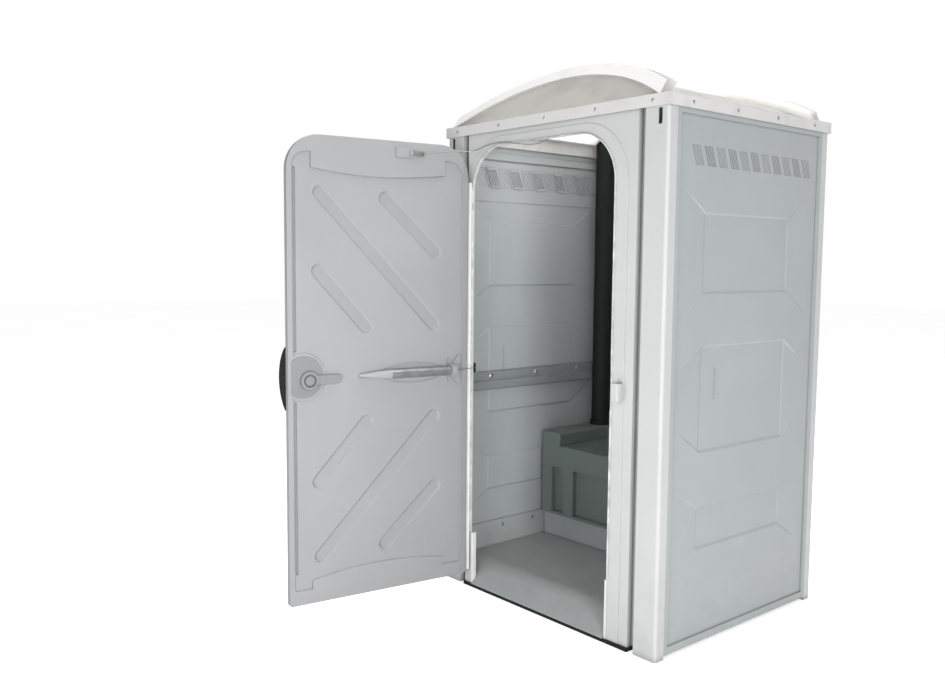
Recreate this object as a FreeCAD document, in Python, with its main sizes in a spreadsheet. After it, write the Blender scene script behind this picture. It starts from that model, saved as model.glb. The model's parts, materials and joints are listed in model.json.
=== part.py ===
import FreeCAD, Part
import Sketcher
import math
import os

# Portable toilet cabin, in millimetres.
# Origin at the centre of the base's underside. The doorway is at the front, toward -Y, and +X is to
# the right seen from there, +Z up. The door stands open, as it is mostly seen.

Vector = FreeCAD.Vector
doc = FreeCAD.newDocument("toilet_cabin")
sheet = doc.addObject("Spreadsheet::Sheet", "dim")

SIZES = {
    # Whole cabin
    "cabin_width": 1280,
    "cabin_depth": 1110,
    "shell_skin": 4,
    # Base and floor
    "base_height": 15,
    "base_half": 495,
    "base_bar": 60,
    "runner_width": 90,
    "floor_height": 100,
    "pan_skin": 5,
    "ramp_end": -440,
    "ramp_round": 150,
    "riser_foot": 93,
    "riser_head": 90,
    "plateau_height": 225,
    "pan_half_width": 615,
    "upstand_face": 614,
    # Walls: x of the skin's inner face, and how far the formed panels stand proud of it
    "wall_face": 620,
    "wall_depth": 12,
    "wall_rise": 8,
    "wall_half": 499,
    "wall_top": 2110.8,
    "rear_face": 531,
    "rear_half": 571,
    # Corner posts
    "post_face": 632,
    "post_width": 107.5,
    "post_depth": 50,
    "post_front": 549,
    "rear_post_width": 60,
    # Front frame and doorway
    "frame_half": 524,
    "frame_face": 547,
    "frame_depth": 18,
    "panel_setback": 3,
    "groove_depth": 30,
    "groove_back": -512,
    "groove_inner": 490,
    "band_skin": 6,
    "opening_left": -450,
    "opening_right": 384,
    "opening_top": 2008,
    "opening_corner": 190,
    "band_left": -490,
    "band_right": 445,
    "band_top": 2048,
    "band_corner": 228,
    # Roof
    "flange_low": 2070,
    "flange_top": 2115,
    "flange_skin": 5,
    "roof_skin": 4,
    "vault_radius": 1190,
    "vault_centre": 1080,
    "rim_height": 45,
    "rim_half": 589,
    "rim_depth": 60,
    "lean": 0.8,
    "end_setback": 12,
    "pipe_x": -548,
    "pipe_y": 440,
    "pipe_radius": 50,
    "pipe_top": 2300,
    "boss_top": 2226,
    # Door leaf, measured from the hinge axis along the leaf
    "hinge_x": -461,
    "hinge_y": -555,
    "open_angle": 98,
    "leaf_start": 8,
    "leaf_width": 870,
    "leaf_bottom": 64,
    "leaf_top": 2014,
    "leaf_corner": 145,
    "leaf_seam": -20,
    "leaf_back": -28,
    "leaf_wall": 6,
    "panel_left": 44,
    "panel_right": 848,
    "panel_bottom": 125,
    "panel_top": 1945,
    "panel_corner": 65,
    "panel_floor": -5,
    "hollow_floor": -9,
    "rib_floor": -15,
    "edge_groove_floor": -12,
    "rib_half": 32,
    "edge_groove": 836,
    "edge_groove_half": 6.5,
    "mirror_height": 1020,
    # Hinge
    "knuckle_radius": 5.5,
    "hinge_pin_radius": 2.5,
    "knuckle_play": 0.05,
    "hinge_low": 80,
    "knuckle_pitch": 136.8,
    "knuckle_gap": 0.6,
    # Latch
    "latch_u": 780,
    "latch_z": 1011,
    "plate_u": 803,
    "plate_z": 1025.5,
    "plate_radius": 86,
    "boss_radius": 98,
    "spindle_radius": 6,
    "crank_radius": 16,
    "crank_pin_radius": 2.5,
    # Door closer
    "closer_z": 1018,
    "closer_w": 20.5,
    "tube_radius": 20.5,
    "tube_start": 90,
    "tube_end": 412,
    # Tank and seat
    "tank_front": 55,
    "tank_back": 527,
    "tank_half": 611,
    "tank_base": 226,
    "ledge_top": 646,
    "deck_top": 580,
    "ledge_width": 131,
    "recess_depth": 30,
    "seat_y": 287,
    "seat_top": 616,
    "hinge_bar_y": 478,
    "hinge_bar_z": 606,
    "lid_angle": 94,
    # Paper holder
    "paper_x": 552,
    "paper_y": -72,
    "paper_z": 665,
    "roll_radius": 52,
    "roll_width": 100,
    "spindle_tube_radius": 20,
}

for row, (alias, size) in enumerate(SIZES.items(), start=1):
    sheet.set("A%d" % row, alias.replace("_", " "))
    sheet.set("B%d" % row, str(size))
    sheet.setAlias("B%d" % row, alias)
doc.recompute()

PARTS = []
NORMAL = {"XY": 1, "XZ": -1, "YZ": 1}
FRONT = "-dim.cabin_depth / 2"


def number(expression):
    """The value of an expression on the sheet."""
    value = sheet.evalExpression(str(expression))
    return float(getattr(value, "Value", value))


def keep(item, label):
    """Name a finished sub-part and put it on the list of files to write."""
    item.Label = label
    PARTS.append(item)
    return item


def new_body(label):
    return keep(doc.addObject("PartDesign::Body", label), label)


def new_sketch(body, plane, level=0):
    """A sketch on one of the body's origin planes, moved along that plane's world axis to level."""
    sketch = body.newObject("Sketcher::SketchObject", "outline")
    origin_plane = [item for item in body.Origin.OriginFeatures if item.Role == plane + "_Plane"][0]
    sketch.AttachmentSupport = [(origin_plane, "")]
    sketch.MapMode = "FlatFace"
    sketch.setExpression("AttachmentOffset.Base.z", "%d * (%s)" % (NORMAL[plane], level))
    return sketch


def bind(sketch, kind, first, first_point, second, second_point, expression):
    """A distance constraint whose size follows an expression."""
    value = number(expression)
    index = sketch.addConstraint(
        Sketcher.Constraint(kind, first, first_point, second, second_point, value))
    sketch.setExpression("Constraints[%d]" % index, str(expression))


def bind_radius(sketch, curve, expression):
    index = sketch.addConstraint(Sketcher.Constraint("Radius", curve, number(expression)))
    sketch.setExpression("Constraints[%d]" % index, str(expression))


def polygon(sketch, corners):
    """A closed run of straight lines whose corners follow expressions."""
    places = [Vector(number(x), number(y), 0) for x, y in corners]
    first = sketch.GeometryCount
    count = len(corners)
    for index in range(count):
        sketch.addGeometry(Part.LineSegment(places[index], places[(index + 1) % count]), False)
    for index in range(count):
        following = first + (index + 1) % count
        sketch.addConstraint(Sketcher.Constraint("Coincident", first + index, 2, following, 1))
    for index, (x, y) in enumerate(corners):
        bind(sketch, "DistanceX", -1, 1, first + index, 1, x)
        bind(sketch, "DistanceY", -1, 1, first + index, 1, y)
    return sketch


def rectangle(sketch, left, right, low, high):
    return polygon(sketch, [(left, low), (right, low), (right, high), (left, high)])


def circle(sketch, x, y, radius):
    centre = Vector(number(x), number(y), 0)
    curve = sketch.addGeometry(Part.Circle(centre, Vector(0, 0, 1), number(radius)), False)
    bind(sketch, "DistanceX", -1, 1, curve, 3, x)
    bind(sketch, "DistanceY", -1, 1, curve, 3, y)
    bind_radius(sketch, curve, radius)
    return sketch


def slot(sketch, start, end, radius):
    """A long hole with round ends, between two centres."""
    a = Vector(number(start[0]), number(start[1]), 0)
    b = Vector(number(end[0]), number(end[1]), 0)
    size = number(radius)
    heading = math.atan2(b.y - a.y, b.x - a.x)
    side = Vector(-math.sin(heading), math.cos(heading), 0) * size
    up = Vector(0, 0, 1)
    quarter = math.pi / 2
    first = sketch.GeometryCount
    near_end, far_end = Part.Circle(a, up, size), Part.Circle(b, up, size)
    sketch.addGeometry(Part.ArcOfCircle(near_end, heading + quarter, heading + 3 * quarter))
    sketch.addGeometry(Part.LineSegment(a - side, b - side))
    sketch.addGeometry(Part.ArcOfCircle(far_end, heading - quarter, heading + quarter))
    sketch.addGeometry(Part.LineSegment(b + side, a + side))
    for index in range(4):
        sketch.addConstraint(
            Sketcher.Constraint("Tangent", first + index, 2, first + (index + 1) % 4, 1))
    sketch.addConstraint(Sketcher.Constraint("Equal", first, first + 2))
    bind_radius(sketch, first, radius)
    for curve, centre in ((first, start), (first + 2, end)):
        bind(sketch, "DistanceX", -1, 1, curve, 3, centre[0])
        bind(sketch, "DistanceY", -1, 1, curve, 3, centre[1])
    return sketch


def rounded(sketch, left, right, low, high, head, foot):
    """A rectangle with one corner radius at its top and another at its foot."""
    x0, x1, y0, y1 = number(left), number(right), number(low), number(high)
    corners = [(x1 - number(foot), y0 + number(foot), -90, foot),
               (x1 - number(head), y1 - number(head), 0, head),
               (x0 + number(head), y1 - number(head), 90, head),
               (x0 + number(foot), y0 + number(foot), 180, foot)]
    first = sketch.GeometryCount
    arcs = []
    for x, y, start, radius in corners:
        arc = Part.Circle(Vector(x, y, 0), Vector(0, 0, 1), number(radius))
        arcs.append(Part.ArcOfCircle(arc, math.radians(start), math.radians(start + 90)))
    for index, arc in enumerate(arcs):
        sketch.addGeometry(arc)
        sketch.addGeometry(Part.LineSegment(arc.EndPoint, arcs[(index + 1) % 4].StartPoint))
    for index in range(8):
        sketch.addConstraint(
            Sketcher.Constraint("Tangent", first + index, 2, first + (index + 1) % 8, 1))
    for index, kind in enumerate(("Vertical", "Horizontal", "Vertical", "Horizontal")):
        sketch.addConstraint(Sketcher.Constraint(kind, first + 2 * index + 1))
        bind_radius(sketch, first + 2 * index, corners[index][3])
    bind(sketch, "DistanceX", -1, 1, first + 1, 1, right)
    bind(sketch, "DistanceY", -1, 1, first + 3, 1, high)
    bind(sketch, "DistanceX", -1, 1, first + 5, 1, left)
    bind(sketch, "DistanceY", -1, 1, first + 7, 1, low)
    return sketch


def lens(sketch, left, right, middle, rise):
    """A pointed oval between two corners, made of two shallow arcs."""
    x0, x1, y0, height = number(left), number(right), number(middle), number(rise)
    half = (x1 - x0) / 2
    radius = (half ** 2 + height ** 2) / (2 * height)
    radius_rule = "(((%s) - (%s))^2 / 4 + (%s)^2) / (2 * (%s))" % (right, left, rise, rise)
    centre_x = (x0 + x1) / 2
    spread = math.asin(half / radius)
    quarter = math.pi / 2
    first = sketch.GeometryCount
    for sign in (1, -1):
        centre = Vector(centre_x, y0 + sign * (height - radius), 0)
        middle_angle = sign * quarter
        arc = Part.Circle(centre, Vector(0, 0, 1), radius)
        sketch.addGeometry(Part.ArcOfCircle(arc, middle_angle - spread, middle_angle + spread))
    sketch.addConstraint(Sketcher.Constraint("Coincident", first, 1, first + 1, 2))
    sketch.addConstraint(Sketcher.Constraint("Coincident", first, 2, first + 1, 1))
    bind(sketch, "DistanceX", -1, 1, first, 1, right)
    bind(sketch, "DistanceY", -1, 1, first, 1, middle)
    bind(sketch, "DistanceX", -1, 1, first, 2, left)
    bind(sketch, "DistanceY", -1, 1, first, 2, middle)
    bind_radius(sketch, first, radius_rule)
    bind_radius(sketch, first + 1, radius_rule)
    return sketch


def bowed_field(sketch, left, right, side, middle, far):
    """A rectangle from the far line to a side that bows out to its middle."""
    sign = 1 if middle > side else -1
    half = (right - left) / 2
    rise = abs(middle - side)
    radius = (half ** 2 + rise ** 2) / (2 * rise)
    centre = Vector((left + right) / 2, middle - sign * radius, 0)
    spread = math.asin(half / radius)
    first = sketch.GeometryCount
    bow_line = Part.Circle(centre, Vector(0, 0, 1), radius)
    crown = sign * math.pi / 2
    sketch.addGeometry(Part.ArcOfCircle(bow_line, crown - spread, crown + spread))
    start_x, end_x = (right, left) if sign > 0 else (left, right)
    corners = [(end_x, side), (end_x, far), (start_x, far), (start_x, side)]
    for (x0, y0), (x1, y1) in zip(corners, corners[1:]):
        sketch.addGeometry(Part.LineSegment(Vector(x0, y0, 0), Vector(x1, y1, 0)))
    for index in range(4):
        sketch.addConstraint(
            Sketcher.Constraint("Coincident", first + index, 2, first + (index + 1) % 4, 1))
    for index, (x, y) in enumerate(corners):
        curve, end = (first + index + 1, 1) if index < 3 else (first + 3, 2)
        bind(sketch, "DistanceX", -1, 1, curve, end, x)
        bind(sketch, "DistanceY", -1, 1, curve, end, y)
    bind_radius(sketch, first, radius)
    return sketch


def extrude(body, kind, plane, level, length, toward, draw):
    """Pad or Pocket a sketch drawn at a level, toward the plus (1) or minus (-1) world axis."""
    sketch = new_sketch(body, plane, level)
    draw(sketch)
    feature = body.newObject("PartDesign::" + kind, kind.lower())
    feature.Profile = sketch
    feature.setExpression("Length", str(length))
    along_normal = toward * NORMAL[plane] > 0
    feature.Reversed = along_normal if kind == "Pocket" else not along_normal
    return feature


def pad(body, plane, level, length, toward, draw):
    return extrude(body, "Pad", plane, level, length, toward, draw)


def pocket(body, plane, level, length, toward, draw):
    return extrude(body, "Pocket", plane, level, length, toward, draw)


def box(left, right, low, high):
    """A drawing function for a rectangle."""
    return lambda sketch: rectangle(sketch, left, right, low, high)


def disc(x, y, radius):
    return lambda sketch: circle(sketch, x, y, radius)


def outline(corners):
    return lambda sketch: polygon(sketch, corners)


def ring(x, y, outer, inner):
    def draw(sketch):
        circle(sketch, x, y, outer)
        circle(sketch, x, y, inner)
    return draw


def round_edges(body, radius, pick):
    """Round the tip's edges that the pick function chooses."""
    doc.recompute()
    base = body.Tip
    names = ["Edge%d" % (index + 1) for index, edge in enumerate(base.Shape.Edges) if pick(edge)]
    if not names:
        raise ValueError("no edge to round on " + body.Label)
    feature = body.newObject("PartDesign::Fillet", "rounding")
    feature.Base = (base, names)
    feature.setExpression("Radius", str(radius))
    return feature


def in_plane(axis, level, tolerance=0.05):
    """Chooses edges that lie wholly in the plane axis = level."""
    level = number(level)

    def pick(edge):
        bounds = edge.BoundBox
        low = getattr(bounds, axis.upper() + "Min")
        high = getattr(bounds, axis.upper() + "Max")
        return abs(low - level) < tolerance and abs(high - level) < tolerance
    return pick


def along(axis, spots):
    """Chooses straight edges parallel to an axis that pass through one of the spots.

    A spot gives the two other coordinates, in X, Y, Z order."""
    others = [name for name in "xyz" if name != axis]
    wanted = [(number(first), number(second)) for first, second in spots]

    def pick(edge):
        if edge.Curve.TypeId != "Part::GeomLine":
            return False
        start = edge.Vertexes[0].Point
        direction = edge.Curve.Direction
        if abs(abs(getattr(direction, axis)) - 1) > 1e-6:
            return False
        here = [getattr(start, name) for name in others]
        return any(math.hypot(here[0] - a, here[1] - b) < 0.05 for a, b in wanted)
    return pick


def linear_pattern(body, features, axis, spacing, count):
    """Repeat features along one of the body's axes."""
    pattern = body.newObject("PartDesign::LinearPattern", "row_of_features")
    pattern.Originals = features
    origin_axis = [item for item in body.Origin.OriginFeatures if item.Role == axis + "_Axis"][0]
    pattern.Direction = (origin_axis, [""])
    pattern.Mode = "Spacing"
    pattern.setExpression("Offset", str(spacing))
    pattern.Occurrences = count
    body.Tip = pattern
    return pattern


def mirrored(source, label):
    """A left-hand piece reflected to the right-hand side."""
    item = doc.addObject("Part::Mirroring", label)
    item.Source = source
    item.Normal = Vector(1, 0, 0)
    return keep(item, label)


def on_door(item):
    """Swing a piece drawn with the door shut, x from the hinge axis, to the open door."""
    item.Placement = FreeCAD.Placement(Vector(), FreeCAD.Rotation(Vector(0, 0, 1), -1))
    item.setExpression("Placement.Base.x", "dim.hinge_x")
    item.setExpression("Placement.Base.y", "dim.hinge_y")
    item.setExpression("Placement.Rotation.Angle", "-dim.open_angle")
    return item


def coded_part(label, shape):
    """A sub-part whose shape is worked out in code."""
    item = doc.addObject("Part::Feature", label)
    item.Shape = shape
    return keep(item, label)


def pan_head(place, direction, head_radius, head_height, shank_radius, shank_length):
    """One rivet or screw: a domed head standing out along direction, and its shank behind."""
    sphere_radius = (head_radius ** 2 + head_height ** 2) / (2 * head_height)
    top = head_height
    arc = Part.Arc(
        Vector(0, 0, top),
        Vector(head_radius * 0.55, 0, top - sphere_radius
               + math.sqrt(sphere_radius ** 2 - (head_radius * 0.55) ** 2)),
        Vector(head_radius, 0, 0)).toShape()
    corners = [Vector(head_radius, 0, 0), Vector(shank_radius, 0, 0),
               Vector(shank_radius, 0, -shank_length), Vector(0, 0, -shank_length), Vector(0, 0, top)]
    edges = [arc] + [Part.makeLine(a, b) for a, b in zip(corners, corners[1:])]
    solid = Part.Face(Part.Wire(edges)).revolve(Vector(), Vector(0, 0, 1), 360)
    turn = FreeCAD.Rotation(Vector(0, 0, 1), Vector(*direction))
    solid.Placement = FreeCAD.Placement(Vector(*place), turn)
    return solid


def cord_tube(points, radius, name):
    """A round tube along straight runs joined by the largest arcs that its runs allow."""
    points = [Vector(*point) for point in points]
    edges = []
    radii = []
    start = points[0]
    for before, corner, after in zip(points, points[1:], points[2:]):
        back = (before - corner)
        ahead = (after - corner)
        shorter = min(back.Length, ahead.Length)
        back.normalize()
        ahead.normalize()
        turn = math.pi - back.getAngle(ahead)
        trim = 0.45 * shorter
        bend = trim / math.tan(turn / 2)
        radii.append(bend)
        first = corner + back * trim
        last = corner + ahead * trim
        bisector = back + ahead
        bisector.normalize()
        centre_distance = bend / math.cos(turn / 2)
        middle = corner + bisector * (centre_distance - bend)
        edges.append(Part.makeLine(start, first))
        edges.append(Part.Arc(first, middle, last).toShape())
        start = last
    edges.append(Part.makeLine(start, points[-1]))
    path = Part.Wire(edges)
    direction = points[1] - points[0]
    profile = Part.Wire([Part.makeCircle(radius, points[0], direction)])
    solid = path.makePipeShell([profile], True, False)
    expected = math.pi * radius ** 2 * path.Length
    print("%s: length %.0f, least bend radius %.1f, volume ratio %.4f"
          % (name, path.Length, min(radii), solid.Volume / expected))
    return solid


# Base and floor

def build_base():
    """Dark pallet under the floor: a flat ring and three runners."""
    body = new_body("base_frame")
    half_x = "dim.base_half"
    front = FRONT + " + 2"
    back = "dim.cabin_depth / 2 - 2"
    pad(body, "XY", 0, "dim.base_height", 1, box("-(%s)" % half_x, half_x, front, back))
    inner = "%s - dim.base_bar" % half_x
    for left, right in (("-(%s)" % inner, "-dim.base_bar / 2"), ("dim.base_bar / 2", inner)):
        pocket(body, "XY", 0, "dim.base_height", 1,
               box(left, right, front + " + dim.base_bar", back + " - dim.base_bar"))
    for middle in (-420, 0, 420):
        pad(body, "XY", 0, "dim.floor_height - dim.pan_skin - 1", 1,
            box("%d - dim.runner_width / 2" % middle, "%d + dim.runner_width / 2" % middle,
                "dim.ramp_end + 50", "dim.rear_face - 2"))
    return body


def build_floor_pan():
    """Moulded tray: ramped threshold, floor, riser and plateau for the tank, and side upstands."""
    body = new_body("floor_pan")
    top = "dim.floor_height"
    skin = "dim.pan_skin"
    back = "dim.rear_face - 1"
    section = [
        (FRONT, "dim.base_height"),
        (FRONT + " + 7", "dim.base_height"),
        ("dim.ramp_end + 2", "%s - %s" % (top, skin)),
        ("dim.riser_foot + 6", "%s - %s" % (top, skin)),
        ("dim.riser_head + 6", "dim.plateau_height - %s" % skin),
        (back, "dim.plateau_height - %s" % skin),
        (back, "dim.plateau_height"),
        ("dim.riser_head", "dim.plateau_height"),
        ("dim.riser_foot", top),
        ("dim.ramp_end", top),
        (FRONT, "dim.base_height + 5"),
    ]
    pad(body, "YZ", "-dim.pan_half_width", "2 * dim.pan_half_width", 1, outline(section))
    round_edges(body, "dim.ramp_round", along("x", [("dim.ramp_end", top)]))
    round_edges(body, "dim.ramp_round - " + skin,
                along("x", [("dim.ramp_end + 2", "%s - %s" % (top, skin))]))
    beyond = FRONT + " - 10"
    for left, right, depth in (
            ("-700", "dim.opening_left + 14", "-dim.frame_face + dim.frame_depth + 3"),
            ("dim.opening_right - 14", "700", "-dim.frame_face + dim.frame_depth + 3"),
            ("-700", "-dim.groove_inner + dim.band_skin + 2", "-dim.wall_half + 0.5"),
            ("dim.groove_inner - dim.band_skin - 2", "700", "-dim.wall_half + 0.5")):
        pocket(body, "XY", 0, 400, 1, box(left, right, beyond, depth))
    wall = box("-dim.wall_half + 1", back, "dim.base_height", "dim.plateau_height")
    pad(body, "YZ", "-dim.upstand_face", skin, -1, wall)
    pad(body, "YZ", "dim.upstand_face", skin, 1, wall)
    for left, right in (("-700", "-dim.rear_half - 0.5"), ("dim.rear_half + 0.5", "700")):
        pocket(body, "XY", 0, 400, 1, box(left, right, "dim.wall_half", "dim.rear_face + 10"))
    return body


def build_pan_rivets():
    """Rivets that hold the floor's upstands to the side walls."""
    face = number("dim.upstand_face") - 0.02
    rivets = []
    for side in (-1, 1):
        for y in (-202, 4):
            rivets.append(pan_head((side * face, y, 196), (-side, 0, 0), 9, 3, 2, 0.01))
    coded_part("pan_rivets", Part.makeCompound(rivets))


# Walls and posts

# Formed panels of a wall: heights of the flat middle, and how far the creases at each end
# open out (plus) or close in (minus) towards the wall's edge.
PANELS = [(1386, 1699, 110), (770, 1191, -108), (387, 557, 104)]


def panel_section(body, plane, level, low, high, base, crest, bevel):
    """A flat-topped cross-section of a formed panel, standing from base to crest."""
    sketch = new_sketch(body, plane, level)
    return polygon(sketch, [(base, low), (crest, "%s + %s" % (low, bevel)),
                            (crest, "%s - %s" % (high, bevel)), (base, high)])


def panel_loft(body, kind, plane, base, crest, stations):
    """Loft a formed panel through its cross-sections, or cut the same form from behind."""
    sketches = []
    for level, low, high, share in stations:
        top = "(%s) + ((%s) - (%s)) * %s" % (base, crest, base, share)
        sketches.append(panel_section(body, plane, level, low, high, base, top, 10))
    feature = body.newObject("PartDesign::" + kind, "panel")
    feature.Profile = sketches[0]
    feature.Sections = sketches[1:]
    feature.Ruled = True
    return feature


def wall_stations(flat_low, flat_high, edge_low, edge_high, low, high, spread):
    """Ends of a panel at the wall's edge, and the steps up to its flat middle."""
    step = 8
    near = spread * 0.04
    return [(edge_low, low - spread, high + spread, 0.05),
            (flat_low - step, low - near, high + near, 0.7),
            (flat_low, low, high, 1),
            (flat_high, low, high, 1),
            (flat_high + step, low - near, high + near, 0.7),
            (edge_high, low - spread, high + spread, 0.05)]


def build_side_wall():
    """Left wall: a formed sheet with a turned rim, three panels, a vent strip and a top ledge."""
    body = new_body("left_wall")
    inside = "-dim.wall_face"
    outer = "-dim.wall_face - dim.wall_depth"
    half = "dim.wall_half"
    pad(body, "YZ", outer, "dim.wall_depth", 1,
        box("-" + half, half, "dim.base_height", "dim.wall_top"))
    pocket(body, "YZ", outer, "dim.wall_depth - dim.shell_skin", 1,
           box("-%s + 22" % half, half + " - 22", "dim.base_height + 30", "dim.wall_top - 60"))
    back = "%s - dim.shell_skin" % inside
    for low, high, spread in PANELS:
        stations = wall_stations(-300, 270, -470, 440, low, high, spread)
        panel_loft(body, "AdditiveLoft", "XZ", inside + " - 1", inside + " + dim.wall_rise", stations)
        panel_loft(body, "SubtractiveLoft", "XZ", back + " - 1", back + " + dim.wall_rise - 1", stations)
    pad(body, "YZ", inside, 3, 1, box(-470, 470, 1795, 1984))
    pad(body, "YZ", inside, 9, 1, box("-%s" % half, half, 1992, 2026))
    pad(body, "YZ", inside, 11, 1, box(-210, -202, 978, 1097))
    add_vent_cells(body, inside)
    doc.recompute()
    round_edges(body, 3, in_plane("x", inside + " + 9"))
    return body


CELL_PITCH = 75
CELL_COUNT = 11
SLOT_PITCH = 11
VENT_LOW = 1861
VENT_HIGH = 1953
SLANT = 35


def slanted(first, last, low=VENT_LOW, high=VENT_HIGH):
    """Corners of a cell or slot whose foot lies further back than its head."""
    lean = SLANT * (high - low) / (VENT_HIGH - VENT_LOW)
    return [(first + lean, low), (last + lean, low), (last, high), (first, high)]


def add_vent_cells(body, inside):
    """Slanted louvre cells under the ledge, sunk and raised in turn, each cut with air slots."""
    start = -CELL_PITCH * CELL_COUNT / 2
    sunk = pocket(body, "YZ", inside + " + 3", 3, -1, outline(slanted(start + 5, start + 68)))
    linear_pattern(body, [sunk], "Y", 2 * CELL_PITCH, (CELL_COUNT + 1) // 2)
    raised_start = start + CELL_PITCH
    raised = pad(body, "YZ", inside + " + 2", 8, 1,
                 outline(slanted(raised_start + 5, raised_start + 68)))
    linear_pattern(body, [raised], "Y", 2 * CELL_PITCH, CELL_COUNT // 2)

    def slots(sketch):
        for index in range(5):
            first = start + 13 + SLOT_PITCH * index
            polygon(sketch, slanted(first, first + 4.5, VENT_LOW + 9, VENT_HIGH - 9))
    cut = pocket(body, "YZ", inside + " + 11", 34, -1, slots)
    linear_pattern(body, [cut], "Y", CELL_PITCH, CELL_COUNT)


def build_rear_wall():
    """Rear wall: the same sheet as the sides, with wide panels and no vents."""
    body = new_body("rear_wall")
    half = "dim.rear_half"
    outer = "dim.rear_face + dim.wall_depth"
    pad(body, "XZ", outer, "dim.wall_depth", -1,
        box("-" + half, half, "dim.base_height", "dim.wall_top"))
    pocket(body, "XZ", outer, "dim.wall_depth - dim.shell_skin", -1,
           box("-%s + 22" % half, half + " - 22", "dim.base_height + 30", "dim.wall_top - 60"))
    back = "dim.rear_face + dim.shell_skin"
    for low, high, spread in PANELS[:2]:
        stations = wall_stations(-370, 370, -540, 540, low, high, spread)
        panel_loft(body, "AdditiveLoft", "YZ", "dim.rear_face + 1", "dim.rear_face - 3", stations)
        panel_loft(body, "SubtractiveLoft", "YZ", back + " + 1", back + " - 3", stations)
    return body


def build_posts():
    """Hollow corner posts, the front ones wider and with a lifting slot near the top."""
    skin = "dim.shell_skin"

    def post(label, x0, x1, y0, y1, corner_y):
        body = new_body(label)
        pad(body, "XY", 0, "dim.wall_top", 1, box(x0, x1, y0, y1))
        round_edges(body, 13, along("z", [(x0, corner_y)]))
        inner_x = "%s + %s" % (x0, skin)
        inner_y = "%s + %s" % (y0, skin) if corner_y == y0 else "%s - %s" % (y1, skin)
        pocket(body, "XY", 0, "dim.wall_top", 1,
               box(inner_x, "%s - %s" % (x1, skin), "%s + %s" % (y0, skin), "%s - %s" % (y1, skin)))
        round_edges(body, 13 - number(skin), along("z", [(inner_x, inner_y)]))
        return body

    front = post("front_post_left", "-dim.post_face", "-dim.post_face + dim.post_width",
                 "-dim.post_front", "-dim.post_front + dim.post_depth", "-dim.post_front")
    pocket(front, "XZ", "-dim.post_front", 20, 1, box(-601, -583, 2006, 2064))
    mirrored(front, "front_post_right")
    rear = post("rear_post_left", "-dim.post_face", "-dim.post_face + dim.rear_post_width",
                "dim.wall_half + 0.5", "dim.post_front", "dim.post_front")
    mirrored(rear, "rear_post_right")


def build_rails():
    """Stepped stiffening rail across each side wall, with its bolts."""
    body = new_body("left_rail")
    wall = "-dim.wall_face + dim.wall_rise + 0.3"
    section = [(wall, 887), (wall, 975), ("-603", 975), ("-599", 971), ("-599", 935),
               ("-586", 929), ("-586", 893), ("-592", 887)]
    pad(body, "XZ", "-dim.wall_half + 2", "2 * dim.wall_half - 4", 1, outline(section))
    pocket(body, "XY", 880, 110, 1, disc("dim.pipe_x", "dim.pipe_y", "dim.pipe_radius + 1.5"))
    mirrored(body, "right_rail")
    heads = []
    for side in (-1, 1):
        for y in (-302, 0, 302):
            heads.append(pan_head((side * 598.9, y, 953), (-side, 0, 0), 13, 7, 2, 0.1))
    coded_part("rail_bolts", Part.makeCompound(heads))


# Front frame

def inverted_u(left, right, top, inner_left, inner_right, inner_top, low="dim.base_height"):
    """Corners of a frame that runs up one side of the doorway, across it and down the other."""
    return outline([(left, low), (inner_left, low), (inner_left, inner_top), (inner_right, inner_top),
                    (inner_right, low), (right, low), (right, top), (left, top)])


def build_door_frame():
    """Formed front panel: a raised band that the door closes on, and a deep groove by each post."""
    body = new_body("door_frame")
    face = "-dim.frame_face"
    half = "dim.frame_half"
    pad(body, "XZ", face, "dim.frame_depth", 1,
        inverted_u("-" + half, half, "dim.wall_top", "dim.opening_left", "dim.opening_right",
                   "dim.opening_top"))
    round_edges(body, "dim.opening_corner",
                along("y", [("dim.opening_left", "dim.opening_top"),
                            ("dim.opening_right", "dim.opening_top")]))
    pocket(body, "XZ", face, "dim.panel_setback", 1,
           inverted_u("-%s - 5" % half, half + " + 5", "dim.wall_top + 5", "dim.band_left",
                      "dim.band_right", "dim.band_top", "dim.base_height - 5"))
    round_edges(body, "dim.band_corner",
                along("y", [("dim.band_left", "dim.band_top"), ("dim.band_right", "dim.band_top")]))
    skin = "dim.band_skin"
    pocket(body, "XZ", face + " + dim.frame_depth", "dim.frame_depth - " + skin, -1,
           lambda sketch: rounded(sketch, "dim.band_left + " + skin, "dim.band_right - " + skin, -200,
                                  "dim.band_top - " + skin, "dim.band_corner - " + skin, 20))
    for left, right in (("-" + half, "-dim.groove_inner + dim.band_skin"),
                        ("dim.groove_inner - dim.band_skin", half)):
        pad(body, "XZ", face + " + 12", "dim.groove_back - (%s + 12)" % face, 1,
            box(left, right, "dim.base_height", "dim.wall_top"))
    for left, right in (("-%s - 5" % half, "-dim.groove_inner"), ("dim.groove_inner", half + " + 5")):
        pocket(body, "XZ", face, "dim.groove_depth", 1,
               box(left, right, "dim.base_height - 5", "dim.wall_top + 5"))
    round_edges(body, 1.5, in_plane("y", face))
    return body


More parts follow.
